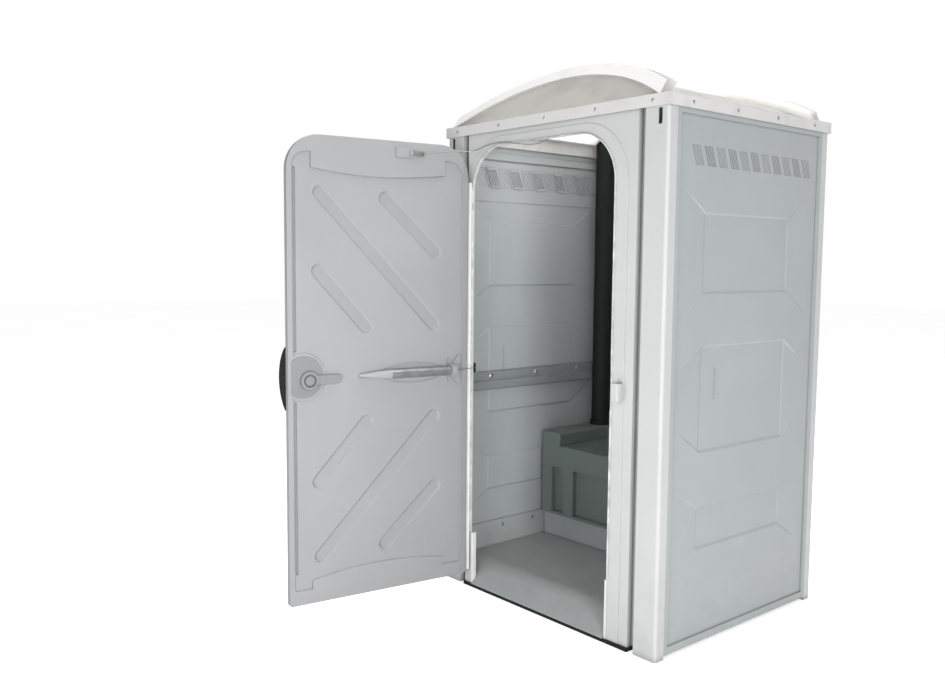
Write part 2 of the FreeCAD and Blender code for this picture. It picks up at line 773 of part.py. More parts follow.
def build_door_seal():
    """Soft strip round the doorway that the closed leaf presses on."""
    body = new_body("door_seal")
    face = "-dim.frame_face"
    pad(body, "XZ", face, 7, -1,
        inverted_u("dim.opening_left - 5", "dim.opening_right + 5", "dim.opening_top + 5",
                   "dim.opening_left - 0.5", "dim.opening_right + 0.5", "dim.opening_top + 0.5", 262))
    round_edges(body, "dim.opening_corner",
                along("y", [("dim.opening_left - 0.5", "dim.opening_top + 0.5"),
                            ("dim.opening_right + 0.5", "dim.opening_top + 0.5")]))
    round_edges(body, "dim.opening_corner + 4.5",
                along("y", [("dim.opening_left - 5", "dim.opening_top + 5"),
                            ("dim.opening_right + 5", "dim.opening_top + 5")]))
    round_edges(body, 1.5, in_plane("y", face + " - 7"))
    pocket(body, "XZ", face + " - 7.5", 3.3, 1,
           box("dim.opening_right - 4", "dim.opening_right + 11", "dim.plate_z - 90", "dim.plate_z + 90"))
    return body


def build_jamb_feet():
    """White corner blocks that tie the foot of each jamb to the floor."""
    for label, left, right in (
            ("jamb_foot_left", "dim.opening_left + 0.3", "dim.opening_left + 13"),
            ("jamb_foot_right", "dim.opening_right - 13", "dim.opening_right - 0.3")):
        body = new_body(label)
        front = "-dim.frame_face - 1"
        back = "-dim.frame_face + dim.frame_depth + 2"
        pad(body, "XY", "dim.base_height", 240, 1, box(left, right, front, back))
        corner = left if label.endswith("right") else right
        round_edges(body, 3, along("z", [(corner, front)]))


# Roof

def prism(name, half_x, section):
    """A solid of one YZ section, as wide as twice half_x."""
    sketch = doc.addObject("Sketcher::SketchObject", name + "_section")
    sketch.Placement = FreeCAD.Placement(Vector(), FreeCAD.Rotation(Vector(1, 1, 1), 120))
    polygon(sketch, section)
    solid = doc.addObject("Part::Extrusion", name)
    solid.Base = sketch
    solid.DirMode = "Custom"
    solid.Dir = Vector(1, 0, 0)
    solid.Solid = True
    solid.Symmetric = True
    solid.setExpression("LengthFwd", "2 * (%s)" % half_x)
    return solid


def block(name, x0, x1, y0, y1, z0, z1):
    """A plain box between limits."""
    item = doc.addObject("Part::Box", name)
    for key, low, high in (("Length", x0, x1), ("Width", y0, y1), ("Height", z0, z1)):
        item.setExpression(key, "(%s) - (%s)" % (high, low))
    for key, low in (("x", x0), ("y", y0), ("z", z0)):
        item.setExpression("Placement.Base." + key, str(low))
    return item


def vault(name, radius, centre_z):
    """A round bar along Y whose upper side is the roof's arch."""
    item = doc.addObject("Part::Cylinder", name)
    item.Placement = FreeCAD.Placement(Vector(), FreeCAD.Rotation(Vector(1, 0, 0), -90))
    item.setExpression("Radius", radius)
    item.setExpression("Height", "dim.cabin_depth + 100")
    item.setExpression("Placement.Base.y", FRONT + " - 50")
    item.setExpression("Placement.Base.z", centre_z)
    return item


def common(name, items):
    item = doc.addObject("Part::MultiCommon", name)
    item.Shapes = items
    return item


def cut(name, base, tool):
    item = doc.addObject("Part::Cut", name)
    item.Base = base
    item.Tool = tool
    return item


def fuse(name, items):
    item = doc.addObject("Part::MultiFuse", name)
    item.Shapes = items
    item.Refine = False
    return item


def leaning(distance):
    """Half depth of the roof at some height over the flange."""
    return "dim.cabin_depth / 2 - dim.lean * (%s)" % distance


def build_roof():
    """One moulding: arched vault, leaning end panels, thick end rims and a flange over the walls."""
    top = "dim.flange_top"
    crown = 260
    tall = "%s + %d" % (top, crown)

    def tent(name, inset, low):
        edge = "%s - (%s)" % (leaning(0), inset)
        head = "%s - (%s)" % (leaning(crown), inset)
        return prism(name, "dim.cabin_width / 2", [
            ("-(%s)" % edge, low), (edge, low), (edge, top), (head, tall), ("-(%s)" % head, tall),
            ("-(%s)" % edge, top)])

    def rim_slab(name, side):
        near = leaning(0)
        far = leaning(crown)
        corners = [(near, top), ("%s - dim.rim_depth" % near, top),
                   ("%s - dim.rim_depth" % far, tall), (far, tall)]
        section = [("%d * (%s)" % (side, y), z) for y, z in corners]
        return prism(name, "dim.rim_half", section)

    vault_outside = common("vault_outside", [
        vault("vault_outer_bar", "dim.vault_radius", "dim.vault_centre"),
        tent("roof_tent", "dim.end_setback", top + " - dim.roof_skin")])
    vault_inside = common("vault_inside", [
        vault("vault_inner_bar", "dim.vault_radius - dim.roof_skin", "dim.vault_centre"),
        tent("roof_tent_inside", "dim.end_setback + 1.3 * dim.roof_skin", top + " - 20")])
    shell = cut("vault_shell", vault_outside, vault_inside)
    rims = []
    for side, name in ((-1, "front"), (1, "rear")):
        band = cut(name + "_rim_band", vault(name + "_rim_bar", "dim.vault_radius + dim.rim_height", "dim.vault_centre"),
                   vault(name + "_rim_hollow", "dim.vault_radius - 2", "dim.vault_centre"))
        rims.append(common(name + "_rim", [band, rim_slab(name + "_rim_slab", side)]))

    def frame(name, half_x, low_y, high_y, skin, z0, z1):
        whole = block(name + "_outer", "-(%s)" % half_x, half_x, low_y, high_y, z0, z1)
        hole = block(name + "_hole", "-(%s) + %s" % (half_x, skin), "%s - %s" % (half_x, skin),
                     "%s + %s" % (low_y, skin), "%s - %s" % (high_y, skin), z0 + " - 1", z1 + " + 1")
        return cut(name, whole, hole)

    ledge = frame("roof_ledge", "dim.cabin_width / 2", FRONT, "dim.cabin_depth / 2",
                  "dim.end_setback + 8", top + " - 4", top)
    side_ledges = [block("left_ledge", "-dim.cabin_width / 2", -584, FRONT, "dim.cabin_depth / 2",
                         top + " - 4", top),
                   block("right_ledge", 584, "dim.cabin_width / 2", FRONT, "dim.cabin_depth / 2",
                         top + " - 4", top)]
    skirt = frame("roof_skirt", "dim.cabin_width / 2", FRONT, "dim.cabin_depth / 2",
                  "dim.flange_skin", "dim.flange_low", top)
    lip = frame("roof_inner_lip", "611", "-494", "494", "4", "2055", top + " - 2")
    boss_bar = doc.addObject("Part::Cylinder", "pipe_boss_bar")
    boss_bar.setExpression("Radius", "dim.pipe_radius + 12")
    boss_bar.setExpression("Height", "dim.boss_top - (%s) + dim.roof_skin" % top)
    boss_bar.setExpression("Placement.Base.x", "dim.pipe_x")
    boss_bar.setExpression("Placement.Base.y", "dim.pipe_y")
    boss_bar.setExpression("Placement.Base.z", top + " - dim.roof_skin")
    boss = cut("pipe_boss", boss_bar, vault_inside)
    moulding = fuse("roof_moulding", [shell, ledge, skirt, lip, boss] + side_ledges + rims)
    pipe_hole = doc.addObject("Part::Cylinder", "pipe_hole")
    pipe_hole.setExpression("Radius", "dim.pipe_radius + 3")
    pipe_hole.Height = 400
    pipe_hole.setExpression("Placement.Base.x", "dim.pipe_x")
    pipe_hole.setExpression("Placement.Base.y", "dim.pipe_y")
    pipe_hole.setExpression("Placement.Base.z", "dim.flange_low")
    keep(cut("roof_shell", moulding, pipe_hole), "roof_shell")


def build_roof_rivets():
    """Dark-centred rivets through the flange, five across the ends and four along the sides."""
    width = number("dim.cabin_width / 2")
    depth = number("dim.cabin_depth / 2")
    height = number("(dim.flange_low + dim.flange_top) / 2")
    rivets = []
    for index in range(5):
        x = 280 * (index - 2)
        for side in (-1, 1):
            rivets.append(pan_head((x, side * (depth + 0.02), height), (0, side, 0), 7, 3, 2, 0.01))
    for index in range(4):
        y = 280 * (index - 1.5)
        for side in (-1, 1):
            rivets.append(pan_head((side * (width + 0.02), y, height), (side, 0, 0), 7, 3, 2, 0.01))
    coded_part("roof_rivets", Part.makeCompound(rivets))


def build_pipe():
    """Vent pipe from the tank's side ledge up through the roof, with its collar and cap."""
    x, y = "dim.pipe_x", "dim.pipe_y"
    pipe = new_body("vent_pipe")
    pad(pipe, "XY", "dim.ledge_top + 0.2", "dim.pipe_top - dim.ledge_top - 0.2", 1,
        ring(x, y, "dim.pipe_radius", "dim.pipe_radius - 3.5"))
    collar = new_body("pipe_collar")
    pad(collar, "XY", "dim.boss_top + 0.2", 14, 1,
        ring(x, y, "dim.pipe_radius + 10", "dim.pipe_radius + 0.3"))
    round_edges(collar, 4, lambda edge: in_plane("z", "dim.boss_top + 14.2")(edge)
                and edge.Length > 340)
    cap = new_body("pipe_cap")
    pad(cap, "XY", "dim.pipe_top - 25", 37, 1, disc(x, y, "dim.pipe_radius + 16"))
    pocket(cap, "XY", "dim.pipe_top - 25", 33, 1, disc(x, y, "dim.pipe_radius + 13"))
    reach = "(dim.pipe_radius - 2)"
    for angle in (0, 120, 240):
        pad(cap, "XY", "dim.pipe_top + 0.3", 8, 1,
            disc("%s + %s * cos(%d)" % (x, reach, angle), "%s + %s * sin(%d)" % (y, reach, angle), 6))
    round_edges(cap, 8, in_plane("z", "dim.pipe_top + 12"))
    foot = new_body("pipe_foot")
    pad(foot, "XY", "dim.ledge_top + 0.2", 22, 1,
        ring(x, y, "dim.pipe_radius + 6", "dim.pipe_radius + 0.3"))
    round_edges(foot, 4, lambda edge: in_plane("z", "dim.ledge_top + 22.2")(edge)
                and edge.Length > 330)


# Tank, seat and lid

def tank_plan(inset, front):
    """The tank seen from above, set in from its walls, its rear corners cut round the posts."""
    side = "dim.tank_half - %s" % inset
    notch = "dim.rear_half - %s" % inset
    step = "dim.wall_half - 1 - %s" % inset
    right = [(side, front), (side, step), (notch, step), (notch, "dim.tank_back - %s" % inset)]
    return outline(right + [("-(%s)" % x, y) for x, y in reversed(right)])


def build_tank():
    """Waste tank across the cabin: side ledges, a seat deck with its hole, and a recessed front."""
    body = new_body("waste_tank")
    front, back = "dim.tank_front", "dim.tank_back"
    base = "dim.tank_base"
    wall = "6"
    inner = "dim.tank_half - dim.ledge_width"
    pad(body, "XY", base, "dim.ledge_top - " + base, 1, tank_plan("0", front))
    pocket(body, "XY", "dim.deck_top", 200, 1, box("-(%s)" % inner, inner, "0", back + " + 5"))
    round_edges(body, 22, along("z", [("-dim.tank_half", front), ("dim.tank_half", front)]))
    round_edges(body, 12, lambda edge: along("z", [("-(%s)" % inner, front), (inner, front)])(edge)
                and edge.BoundBox.ZMax > number("dim.deck_top") + 10)
    round_edges(body, 12, lambda edge: in_plane("z", "dim.ledge_top")(edge)
                and edge.BoundBox.YMax < number(front) + 13)
    pad(body, "XY", "dim.deck_top - 1", 15, 1,
        lambda sketch: slot(sketch, (-120, 300), (120, 300), 190))
    pocket(body, "XY", base + " + " + wall, "dim.deck_top - 12 - " + base, 1,
           tank_plan(wall, front + " + 40"))
    pocket(body, "XY", "dim.deck_top - 40", 200, 1,
           lambda sketch: slot(sketch, (0, "dim.seat_y - 25"), (0, "dim.seat_y + 25"), 112))
    for sign in ("-", ""):
        hollow = [(inner, front + " + 40"), ("dim.tank_half - 2 * " + wall, front + " + 40"),
                  ("dim.tank_half - 2 * " + wall, "dim.wall_half - 1 - " + wall),
                  ("dim.rear_half - " + wall, "dim.wall_half - 1 - " + wall),
                  ("dim.rear_half - " + wall, back + " - " + wall), (inner, back + " - " + wall)]
        pocket(body, "XY", "dim.deck_top - 7", "dim.ledge_top - dim.deck_top - 5", 1,
               outline([("%s(%s + 6)" % (sign, x), y) for x, y in hollow]))
    for low, high in ((-527, -445), (445, 527), (-380, -60), (60, 380)):
        pocket(body, "XZ", front, "dim.recess_depth", 1, box(low, high, 240, 470))
    pocket(body, "XY", "dim.deck_top", 200, 1, disc("dim.pipe_x", "dim.pipe_y", "dim.pipe_radius - 8"))
    round_edges(body, 5, in_plane("y", front + " + dim.recess_depth"))
    return body


def build_seat():
    """Seat ring and lid on one hinge bar. The ring is down, and the lid leans against the back."""
    bar_y, bar_z = "dim.hinge_bar_y", "dim.hinge_bar_z"
    boss_top = "dim.deck_top + 14"
    bracket = new_body("seat_bracket")
    for side in (-1, 1):
        middle = side * 75
        pad(bracket, "XY", boss_top + " + 0.2", "%s + 9 - (%s + 0.2)" % (bar_z, boss_top), 1,
            box(middle - 8, middle + 8, "%s - 9" % bar_y, "%s + 9" % bar_y))
        round_edges(bracket, 8.5, lambda edge: along("x", [("%s - 9" % bar_y, bar_z + " + 9"),
                                                           ("%s + 9" % bar_y, bar_z + " + 9")])(edge)
                    and edge.BoundBox.Center.x * side > 0)
    pad(bracket, "XY", boss_top + " + 0.2", 2.4, 1,
        box(-83, 83, "%s - 6.5" % bar_y, "%s + 10" % bar_y))
    pocket(bracket, "YZ", -90, 180, 1, disc(bar_y, bar_z, 4.05))
    bar = new_body("seat_hinge_bar")
    pad(bar, "YZ", -88, 176, 1, disc(bar_y, bar_z, 4))

    ring_body = new_body("seat_ring")
    low = "dim.seat_top - 20"
    pad(ring_body, "XY", low, 20, 1,
        lambda sketch: slot(sketch, (0, "dim.seat_y - 10"), (0, "dim.seat_y + 6"), 178))
    pad(ring_body, "XY", low, 12, 1, box(-62, 62, "dim.seat_y + 150", "%s - 12" % bar_y))
    for side in (-1, 1):
        ends = sorted((side * 48, side * 62))
        pad(ring_body, "YZ", ends[0], 14, 1, disc(bar_y, bar_z, 9))
        pad(ring_body, "YZ", ends[0], 14, 1,
            box("%s - 20" % bar_y, bar_y, "%s - 9" % bar_z, "%s + 2" % bar_z))
    pocket(ring_body, "XY", low + " - 5", 60, 1,
           lambda sketch: slot(sketch, (0, "dim.seat_y - 35"), (0, "dim.seat_y + 15"), 108))
    pocket(ring_body, "YZ", -90, 180, 1, disc(bar_y, bar_z, 4.05))
    round_edges(ring_body, 7, in_plane("z", "dim.seat_top"))

    lid = new_body("seat_lid")
    lid_low = "dim.seat_top + 1.5"
    pad(lid, "XY", lid_low, 10, 1,
        lambda sketch: slot(sketch, (0, "dim.seat_y - 10"), (0, "dim.seat_y + 6"), 176))
    pad(lid, "XY", lid_low, 10, 1, box(-44, 44, "dim.seat_y + 150", "%s - 3" % bar_y))
    for side in (-1, 1):
        ends = sorted((side * 30, side * 44))
        pad(lid, "YZ", ends[0], 14, 1, disc(bar_y, bar_z, 9))
        pad(lid, "YZ", ends[0], 14, 1,
            box("%s - 9" % bar_y, bar_y, bar_z, "%s + 10" % lid_low))
    pocket(lid, "YZ", -90, 180, 1, disc(bar_y, bar_z, 4.05))
    round_edges(lid, 4, lambda edge: in_plane("z", lid_low + " + 10")(edge)
                and edge.BoundBox.YMax < number(bar_y) - 22)
    lid.setExpression("Placement.Base.y",
                      "%s - (%s * cos(dim.lid_angle) + %s * sin(dim.lid_angle))" % (bar_y, bar_y, bar_z))
    lid.setExpression("Placement.Base.z",
                      "%s - (%s * cos(dim.lid_angle) - %s * sin(dim.lid_angle))" % (bar_z, bar_z, bar_y))
    lid.Placement.Rotation = FreeCAD.Rotation(Vector(1, 0, 0), -1)
    lid.setExpression("Placement.Rotation.Angle", "-dim.lid_angle")


# Paper holder

def build_paper_holder():
    """Bracket on the right wall with a fixed spindle and two paper rolls."""
    x, y, z = "dim.paper_x", "dim.paper_y", "dim.paper_z"
    bracket = new_body("paper_bracket")
    wall = "dim.wall_face - 0.3"
    pad(bracket, "YZ", wall, 4, -1, box("%s - 118" % y, "%s + 118" % y, "%s - 60" % z, "%s + 60" % z))
    for side in (-1, 1):
        near = "%s + %d" % (y, side * 112)
        pad(bracket, "XZ", near, 5, side,
            outline([("%s - 24" % x, "%s - 24" % z), (wall, "%s - 60" % z),
                     (wall, "%s + 60" % z), ("%s - 24" % x, "%s + 24" % z)]))
        round_edges(bracket, 20, lambda edge: along("y", [("%s - 24" % x, "%s - 24" % z),
                                                          ("%s - 24" % x, "%s + 24" % z)])(edge)
                    and (edge.BoundBox.Center.y - number(y)) * side > 0)
    spindle = new_body("paper_spindle")
    pad(spindle, "XZ", "%s - 111.7" % y, 223.4, 1,
        ring(x, z, "dim.spindle_tube_radius", "dim.spindle_tube_radius - 3"))
    for label, side in (("paper_roll_front", -1), ("paper_roll_rear", 1)):
        roll = new_body(label)
        pad(roll, "XZ", "%s + %d * 4" % (y, side), "dim.roll_width", side,
            ring(x, z, "dim.roll_radius", "dim.spindle_tube_radius + 0.3"))
        round_edges(roll, 2, lambda edge: edge.Length > 300 and edge.Curve.TypeId == "Part::GeomCircle")


# Door, drawn shut: x runs from the hinge axis to the free edge, y = 0 is the inner face

RIBS = [((725, 760), (185, 207)), ((425, 749), (180, 526)), ((733, 440), (514, 203))]


def rib_centres():
    """The six ribs: three above the door's middle and their mirror images below it."""
    for side in (1, -1):
        for start, end in RIBS:
            yield tuple((str(u), "dim.mirror_height + %d" % (side * rise)) for u, rise in (start, end))


def is_shallow(edge):
    """True for the wide arcs of the pointed ovals."""
    return edge.Curve.TypeId == "Part::GeomCircle" and edge.Curve.Radius > 300


def draw_ribs(extra):
    def draw(sketch):
        for start, end in rib_centres():
            slot(sketch, start, end, "dim.rib_half + %s" % extra)
    return draw


# Flat fields that carry the rim's level inwards: left, right, level at the sides and in the middle,
# and the line inside the rim that they reach.
FIELDS = [(134, 765, 1879, 1856, 1950), (140, 768, 163, 191, 120)]
FIELD_LEVEL = 0

# How far the walls of the ribs and of the edge groove slope, in degrees from upright.
RIB_SLOPE = 42
GROOVE_SLOPE = 25


def draw_edge_groove(extra):
    """The groove along the panel's free edge, broken off at the latch boss."""
    def draw(sketch):
        for low, high in ((200, 917), (1134, 1875)):
            slot(sketch, ("dim.edge_groove", low), ("dim.edge_groove", high),
                 "dim.edge_groove_half + %s" % extra)
    return draw


def leaf_outline(inset=0):
    """The leaf's edge, or the same line moved inwards."""
    return lambda sketch: rounded(sketch, "dim.leaf_start + %s" % inset, "dim.leaf_width - %s" % inset,
                                  "dim.leaf_bottom + %s" % inset, "dim.leaf_top - %s" % inset,
                                  "dim.leaf_corner - %s" % inset, "12 - %s" % inset)


def build_inner_skin():
    """Inner half of the leaf: rim, recessed panel with its two bowed fields, and six slanted ribs."""
    body = new_body("door_inner_skin")
    seam = "dim.leaf_seam"
    pad(body, "XZ", seam, "-" + seam, 1, leaf_outline())
    pocket(body, "XZ", seam, "dim.hollow_floor - " + seam, 1, leaf_outline("dim.leaf_wall"))
    bump = "dim.rib_floor - dim.shell_skin"
    pad(body, "XZ", "dim.hollow_floor", "dim.hollow_floor - (%s)" % bump, -1, draw_ribs(4))
    groove_bump = "dim.edge_groove_floor - dim.shell_skin"
    pad(body, "XZ", "dim.hollow_floor", "dim.hollow_floor - (%s)" % groove_bump, -1, draw_edge_groove(4))
    pad(body, "XZ", "dim.hollow_floor", 4, -1,
        lambda sketch: lens(sketch, "84", "496", "dim.closer_z", "49"))
    pocket(body, "XZ", 0, "-dim.panel_floor", -1,
           lambda sketch: rounded(sketch, "dim.panel_left", "dim.panel_right", "dim.panel_bottom",
                                  "dim.panel_top", "dim.panel_corner", 14))
    pad(body, "XZ", "dim.hollow_floor", "-dim.hollow_floor", 1,
        disc("dim.plate_u", "dim.plate_z", "dim.boss_radius"))
    pocket(body, "XZ", 1, 30, -1, box("dim.leaf_width", "dim.leaf_width + 60",
                                      "dim.latch_z - 150", "dim.latch_z + 150"))
    for corners in FIELDS:
        pad(body, "XZ", "dim.panel_floor - 0.5", "%s - dim.panel_floor + 0.5" % FIELD_LEVEL, 1,
            lambda sketch: bowed_field(sketch, *corners))
    for draw, floor, slope in ((draw_ribs(0), "dim.rib_floor", RIB_SLOPE),
                               (draw_edge_groove(0), "dim.edge_groove_floor", GROOVE_SLOPE)):
        sunk = pocket(body, "XZ", "dim.panel_floor", "dim.panel_floor - " + floor, -1, draw)
        sunk.TaperAngle = -slope
    pocket(body, "XZ", "dim.panel_floor", 3.4, -1,
           lambda sketch: lens(sketch, "92", "488", "dim.closer_z", "45"))
    round_edges(body, 2.5, in_plane("y", "dim.rib_floor"))
    sides = along("z", [(field[index], "dim.panel_floor") for field in FIELDS for index in (0, 1)])
    round_edges(body, 2.5, lambda edge: in_plane("y", "dim.panel_floor")(edge)
                and not is_shallow(edge) and not sides(edge))
    round_edges(body, 4.5, lambda edge: in_plane("y", FIELD_LEVEL)(edge) and is_shallow(edge))
    pocket(body, "XZ", 0, 30, -1, disc("dim.latch_u", "dim.latch_z", "dim.spindle_radius + 0.5"))
    pocket(body, "YZ", "dim.leaf_width + 5", 20, -1,
           box("dim.leaf_seam - 5", -12.5, "dim.latch_z - 26", "dim.latch_z + 26"))
    hinge_edge = "dim.leaf_start"
    pocket(body, "XY", 0, 2100, 1,
           outline([(hinge_edge + " - 1", -8.2), ("dim.panel_left - 2", 0), ("dim.panel_left - 2", 1),
                    (hinge_edge + " - 1", 1)]))
    return on_door(body)


def build_outer_skin():
    """Outer half of the leaf, with the same slanted ribs pressed the other way."""
    body = new_body("door_outer_skin")
    seam = "dim.leaf_seam"
    back = "dim.leaf_back"
    depth = "%s - (%s)" % (seam, back)
    pad(body, "XZ", back, depth, 1, leaf_outline())
    pocket(body, "XZ", seam, 4.5, -1, leaf_outline("dim.leaf_wall"))
    pad(body, "XZ", seam + " - 0.2", 4.8, -1, draw_ribs(4))
    pocket(body, "XZ", back, 4.6, 1, draw_ribs(0))
    round_edges(body, 1.5, in_plane("y", back + " + 4.6"))
    round_edges(body, 2, lambda edge: in_plane("y", back)(edge))
    pocket(body, "XZ", seam, 30, -1, disc("dim.latch_u", "dim.latch_z", "dim.spindle_radius + 0.5"))
    pocket(body, "YZ", "dim.leaf_width + 5", 12, -1,
           box("dim.leaf_seam - 0.4", "dim.leaf_seam + 5", "dim.latch_z - 26", "dim.latch_z + 26"))
    return on_door(body)


# Hinge

def build_hinge():
    """Full-height hinge: two leaves with alternate knuckles on one long pin."""
    pitch = "dim.knuckle_pitch"
    length = pitch + " - dim.knuckle_gap"
    play = "dim.hinge_pin_radius + dim.knuckle_play"
    high = "13 * " + pitch

    def leaf(label, first, count, plate, web):
        body = new_body(label)
        pad(body, "XY", "dim.hinge_low", high, 1, plate)
        start = "dim.hinge_low + %d * %s" % (first, pitch)
        barrel = pad(body, "XY", start, length, 1, disc(0, 0, "dim.knuckle_radius"))
        linear_pattern(body, [barrel], "Z", "2 * " + pitch, count)
        bridge = pad(body, "XY", start, length, 1, web)
        linear_pattern(body, [bridge], "Z", "2 * " + pitch, count)
        pocket(body, "XY", "dim.hinge_low - 5", high + " + 10", 1, disc(0, 0, play))
        return body

    jamb = leaf("hinge_jamb_leaf", 0, 7, box(-28, -1, 6, 8), box(-5, -1, 3.2, 7))
    jamb.setExpression("Placement.Base.x", "dim.hinge_x")
    jamb.setExpression("Placement.Base.y", "dim.hinge_y")
    on_door(leaf("hinge_door_leaf", 1, 6, box(6, 7.9, -26, -1), box(3.2, 7, -5, -1)))
    pin = new_body("hinge_pin")
    pad(pin, "XY", "dim.hinge_low - 2", high + " + 4", 1,
        disc("dim.hinge_x", "dim.hinge_y", "dim.hinge_pin_radius"))
    screws = []
    hinge_x = number("dim.hinge_x")
    face = number("dim.hinge_y") + 5.98
    for index in range(13):
        z = number("dim.hinge_low + (%d + 0.5) * %s" % (index, pitch))
        screws.append(pan_head((hinge_x - 18, face, z), (0, -1, 0), 4, 1.6, 1.5, 0.01))
    coded_part("hinge_screws", Part.makeCompound(screws))


# Latch

def build_latch():
    """Round plate with a flat side, turning knob with its lever, crank, sliding bolt and keeper."""
    u, z = "dim.latch_u", "dim.latch_z"
    plate = new_body("latch_plate")
    pad(plate, "XZ", 0.2, 3, 1, disc("dim.plate_u", "dim.plate_z", "dim.plate_radius"))
    pocket(plate, "XZ", -1, 10, 1,
           box("dim.plate_u + 51", "dim.plate_u + 100", "dim.plate_z - 100", "dim.plate_z + 100"))
    round_edges(plate, 14, lambda edge: edge.Curve.TypeId == "Part::GeomLine"
                and abs(edge.BoundBox.YLength - 3) < 0.1)
    round_edges(plate, 1.2, in_plane("y", 3.2))
    pocket(plate, "XZ", -1, 10, 1, disc(u, z, "dim.spindle_radius + 0.5"))
    on_door(plate)

    knob = new_body("latch_knob")
    pad(knob, "XZ", 3.6, 14, 1, disc(u, z, 38))
    pocket(knob, "XZ", 17.6, 9, -1, disc(u, z, 27))
    pad(knob, "XZ", 8, 6, 1, disc(u, z, 20))
    pad(knob, "XZ", 4.2, 9, 1,
        outline([(u + " - 30", z + " - 20"), (u + " - 30", z + " + 20"),
                 (u + " - 141", z + " + 18"), (u + " - 141", z + " - 18")]))
    round_edges(knob, 14, lambda edge: along("y", [(u + " - 141", z + " - 18"),
                                                   (u + " - 141", z + " + 18")])(edge))
    round_edges(knob, 3, in_plane("y", 13.2))
    round_edges(knob, 3.5, lambda edge: in_plane("y", 17.6)(edge) and edge.Length > 200)
    pad(knob, "XZ", 4.5, 16.8, -1, disc(u, z, "dim.spindle_radius"))
    pad(knob, "XZ", -9.4, 3.4, -1, disc(u, z, 21))
    crank_u = "%s - dim.crank_radius * sin(45)" % u
    crank_z = "%s + dim.crank_radius * cos(45)" % z
    pad(knob, "XZ", -12, 7.6, -1, disc(crank_u, crank_z, "dim.crank_pin_radius"))
    pad(knob, "XZ", -12, 19.4, -1, disc(u, z, "dim.spindle_radius - 1"))
    on_door(knob)

    bolt = new_body("latch_bolt")
    pad(bolt, "XZ", -19.6, 6, 1, box("%s - 40" % u, "dim.leaf_width - 2", z + " - 24", z + " + 24"))
    pocket(bolt, "XZ", -25, 20, 1,
           lambda sketch: slot(sketch, (u + " - 24", z), (u + " + 2", z), "dim.spindle_radius - 0.3"))
    pocket(bolt, "XZ", -25, 20, 1,
           lambda sketch: slot(sketch, (crank_u, z + " + 10.8"), (crank_u, z + " + 16.5"),
                               "dim.crank_pin_radius + 1"))
    round_edges(bolt, 5, along("y", [("dim.leaf_width - 2", z + " - 24"),
                                     ("dim.leaf_width - 2", z + " + 24")]))
    on_door(bolt)

    guide = new_body("bolt_guide")
    pad(guide, "XZ", -19.6, 6, 1, box("%s + 45" % u, "%s + 75" % u, z + " + 24.4", z + " + 34"))
    pad(guide, "XZ", -19.6, 6, 1, box("%s + 45" % u, "%s + 75" % u, z + " - 34", z + " - 24.4"))
    pad(guide, "XZ", -13.2, 3.9, 1, box("%s + 45" % u, "%s + 75" % u, z + " - 34", z + " + 34"))
    for low, high in ((z + " + 24.4", z + " + 34"), (z + " - 34", z + " - 24.4")):
        pad(guide, "XZ", -13.8, 1, 1, box("%s + 45" % u, "%s + 75" % u, low, high))
    on_door(guide)

    plate_out = new_body("indicator_plate")
    back = "dim.leaf_back"
    pad(plate_out, "XZ", back + " - 0.2", 4, -1, disc(u, z, 34))
    pocket(plate_out, "XZ", back + " - 4.2", 2.6, 1, disc(u, z, 27))
    pocket(plate_out, "XZ", back + " + 1", 10, -1, disc(u, z, "dim.spindle_radius + 0.5"))
    on_door(plate_out)
    indicator = new_body("indicator_disc")
    pad(indicator, "XZ", back + " - 2", 2, -1, disc(u, z, 26))
    pad(indicator, "XZ", back + " - 3.9", 4, -1, box(u + " - 15", u + " + 15", z + " - 3", z + " + 3"))
    pocket(indicator, "XZ", back + " + 1", 4.6, -1, disc(u, z, "dim.spindle_radius - 0.96"))
    on_door(indicator)

    keeper = new_body("bolt_keeper")
    x0 = "dim.hinge_x + dim.leaf_width + 3"
    face = "-dim.frame_face"
    pad(keeper, "XZ", face + " - 0.2", 33, -1, box(x0, x0 + " + 32", z + " - 34", z + " + 34"))
    pocket(keeper, "YZ", x0 + " - 1", 28, 1,
           box("dim.hinge_y - 22.5", "dim.hinge_y - 10.5", z + " - 26", z + " + 26"))
    round_edges(keeper, 4, along("z", [(x0 + " + 32", face + " - 33.2")]))


def build_handle():
    """Black bow handle on the outer face, with a thin cheek closing its free-edge side."""
    body = new_body("bow_handle")
    face = "dim.leaf_back - 0.2"
    low, high = 888, 1152
    half = (high - low) / 2
    middle = (high + low) / 2
    start = number(face)
    bulge = 70
    outer_radius = (half ** 2 + bulge ** 2) / (2 * bulge)
    inner_half = half - 30
    inner_bulge = bulge - 16
    inner_radius = (inner_half ** 2 + inner_bulge ** 2) / (2 * inner_bulge)
    hinge_side, free_side, cheek = 836, 874, 5
    pad(body, "YZ", hinge_side, free_side - hinge_side, 1,
        lambda sketch: bow(sketch, start, middle, half, outer_radius))
    pocket(body, "YZ", hinge_side - 1, free_side - cheek - hinge_side + 1, 1,
           lambda sketch: bow(sketch, start + 0.5, middle, inner_half, inner_radius))
    round_edges(body, 4, lambda edge: edge.BoundBox.XLength < 0.1
                and edge.Curve.TypeId == "Part::GeomCircle"
                and abs(edge.Curve.Radius - outer_radius) < 0.1)
    on_door(body)


